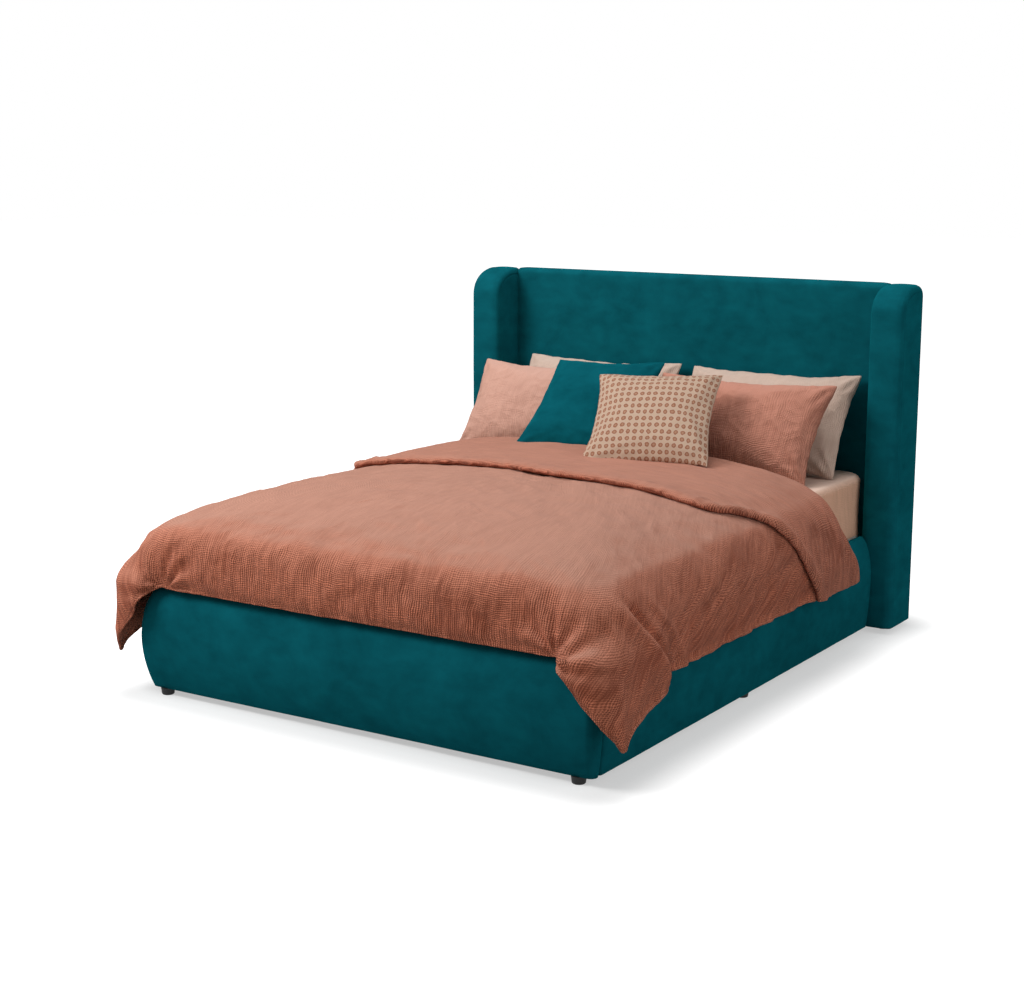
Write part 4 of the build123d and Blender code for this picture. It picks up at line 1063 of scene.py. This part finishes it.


# each pillow's first colour shows on faces that look up and its second on hanging ones, a painted
# shade by facing; the last number sets the painted shade in the crinkles
pale_muslin = muslin("pale_muslin", (0.60, 0.45, 0.37), (0.60, 0.44, 0.355), 0.5, 0.35)
peach_muslin = muslin("peach_muslin", (0.62, 0.36, 0.285), (0.60, 0.33, 0.25), 0.55, 0.4)
clay_muslin = muslin("clay_muslin", (0.57, 0.262, 0.19), (0.54, 0.232, 0.16), 0.95, 0.6)
pillow_width, bed_level, lean = 0.690, 0.552, 34
back_height, back_rise, front_height, front_rise = 0.425, 0.078, 0.410, 0.088
back_y = panel_front - 0.028 - back_height * math.sin(math.radians(lean))
front_y = back_y - (back_rise + front_rise + 0.001) / math.cos(math.radians(lean))
back_size, front_size = (back_y, back_height, back_rise), (front_y, front_height, front_rise)
for number, (node, x, (y, height, rise), cloth, cloth_slot, body) in enumerate((
    ("back_pillow_left", -0.335, back_size, pale_muslin, "pale_muslin", "mattress"),
    ("back_pillow_right", 0.372, back_size, pale_muslin, "pale_muslin", "mattress"),
    ("front_pillow_left", -0.410, front_size, peach_muslin, "peach_muslin", "pillow_front_left"),
    ("front_pillow_right", 0.352, front_size, clay_muslin, "clay_muslin", "pillow_front_right"),
)):
    points, faces, flat = stuffed(pillow_width, height, rise * 0.97, 0.012, 4)
    share_up, share_out = points[:, 1] / height + 0.5, points[:, 0] / (pillow_width / 2)
    if node == "front_pillow_right":
        # its upper right corner is pulled out into an ear
        points[:, 0] *= 1 + 0.055 * np.clip(share_up, 0, 1) ** 2 * np.maximum(share_out, 0) ** 2
    points[:, 2] *= np.clip(1 + 0.10 * (0.5 - share_up), 0.9, 1.0)
    placed = stand(points, (x, y, bed_level - 0.004), lean, 0, 0, height)
    placed[:, 2] = np.maximum(placed[:, 2], bed_level + 0.0006)
    pillow = sewn(node.replace("pillow", "pillow_case"), placed, faces, cloth, body)
    lay_cloth(pillow, flat[:, [1, 0, 2]] + (3 + number, 2, 0))
    smoothed(pillow, 2)
    crumple(pillow, 0.13, 0.0048, 60 + 5 * number, bed_level + 0.0004)
    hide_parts(node)

# The teal cushion: two squares of the same velvet, a shade brighter, with a knife edge seam.
# It stands on the turned-back band and leans on the pillows.
bright_velvet = velvet("cushion_velvet", (0.0020, 0.062, 0.080), (0.0040, 0.112, 0.142), 0.36)
cushion_size = 0.465
points, faces, _ = stuffed(cushion_size, cushion_size, 0.062 * 0.97, 0.011, 5)
placed = stand(points, (-0.110, 0.345, 0.633), 50, 0, 2.5, cushion_size)
teal_cushion = sewn("teal_cushion_case", placed, faces, bright_velvet, "cushion_teal")
smoothed(teal_cushion, 1)
crumple(teal_cushion, 0.13, 0.0034, 90)
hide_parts("teal_cushion")

# The dotted cushion: cream linen printed with rows of small terracotta spots, each a little
# different, some of them paler in the middle.
dotted, tree, linen = new_material("dotted_linen")
place = add(tree, "Attribute", attribute_name="panel_place").outputs["Vector"]
jitter = fuzz(tree, place, 22, "Color", Detail=2)
wander = vector(tree, "MULTIPLY_ADD", jitter, (0.010, 0.010, 0.0), place)
spot_counts = (20 / cushion_size, 16 / cushion_size, 0.0)
rows = vector(tree, "MULTIPLY", wander, spot_counts)
cell = vector(tree, "FRACTION", rows)
centred = vector(tree, "SUBTRACT", cell, (0.5, 0.5, 0.0))
from_middle = vector(tree, "LENGTH", centred)
spot = scalar(tree, "MULTIPLY_ADD", fuzz(tree, place, 120), 0.22, from_middle)
spot_colours = [
    (0.0, (0.40, 0.22, 0.14)),
    (0.26, (0.36, 0.19, 0.12)),
    (0.30, (0.27, 0.112, 0.062)),
    (0.43, (0.30, 0.13, 0.075)),
    (0.475, (0.52, 0.385, 0.30)),
    (0.56, (0.49, 0.345, 0.25)),
]
slubs = add(tree, "TexWave", {"Vector": place, "Scale": 190, "Distortion": 1.2}).outputs["Fac"]
cloth_relief = bump(tree, slubs, 0.25, 0.0008)
feed(linen, {
    "Base Color": ramp(tree, spot, *spot_colours),
    "Roughness": 0.85,
    "Specular IOR Level": 0.15,
    "Sheen Weight": 0.1,
    "Normal": bump(tree, spot, 0.5, 0.0012, invert=True, Normal=cloth_relief),
})
points, faces, flat = stuffed(cushion_size, cushion_size, 0.056 * 0.97, 0.011, 5)
placed = stand(points, (0.262, 0.216, 0.632), 52, 15, 3, cushion_size)
dotted_cushion = sewn("dotted_cushion_case", placed, faces, dotted, "cushion_dotted")
lay_cloth(dotted_cushion, flat, "panel_place")
smoothed(dotted_cushion, 1)
crumple(dotted_cushion, 0.12, 0.0034, 95)
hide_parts("dotted_cushion")
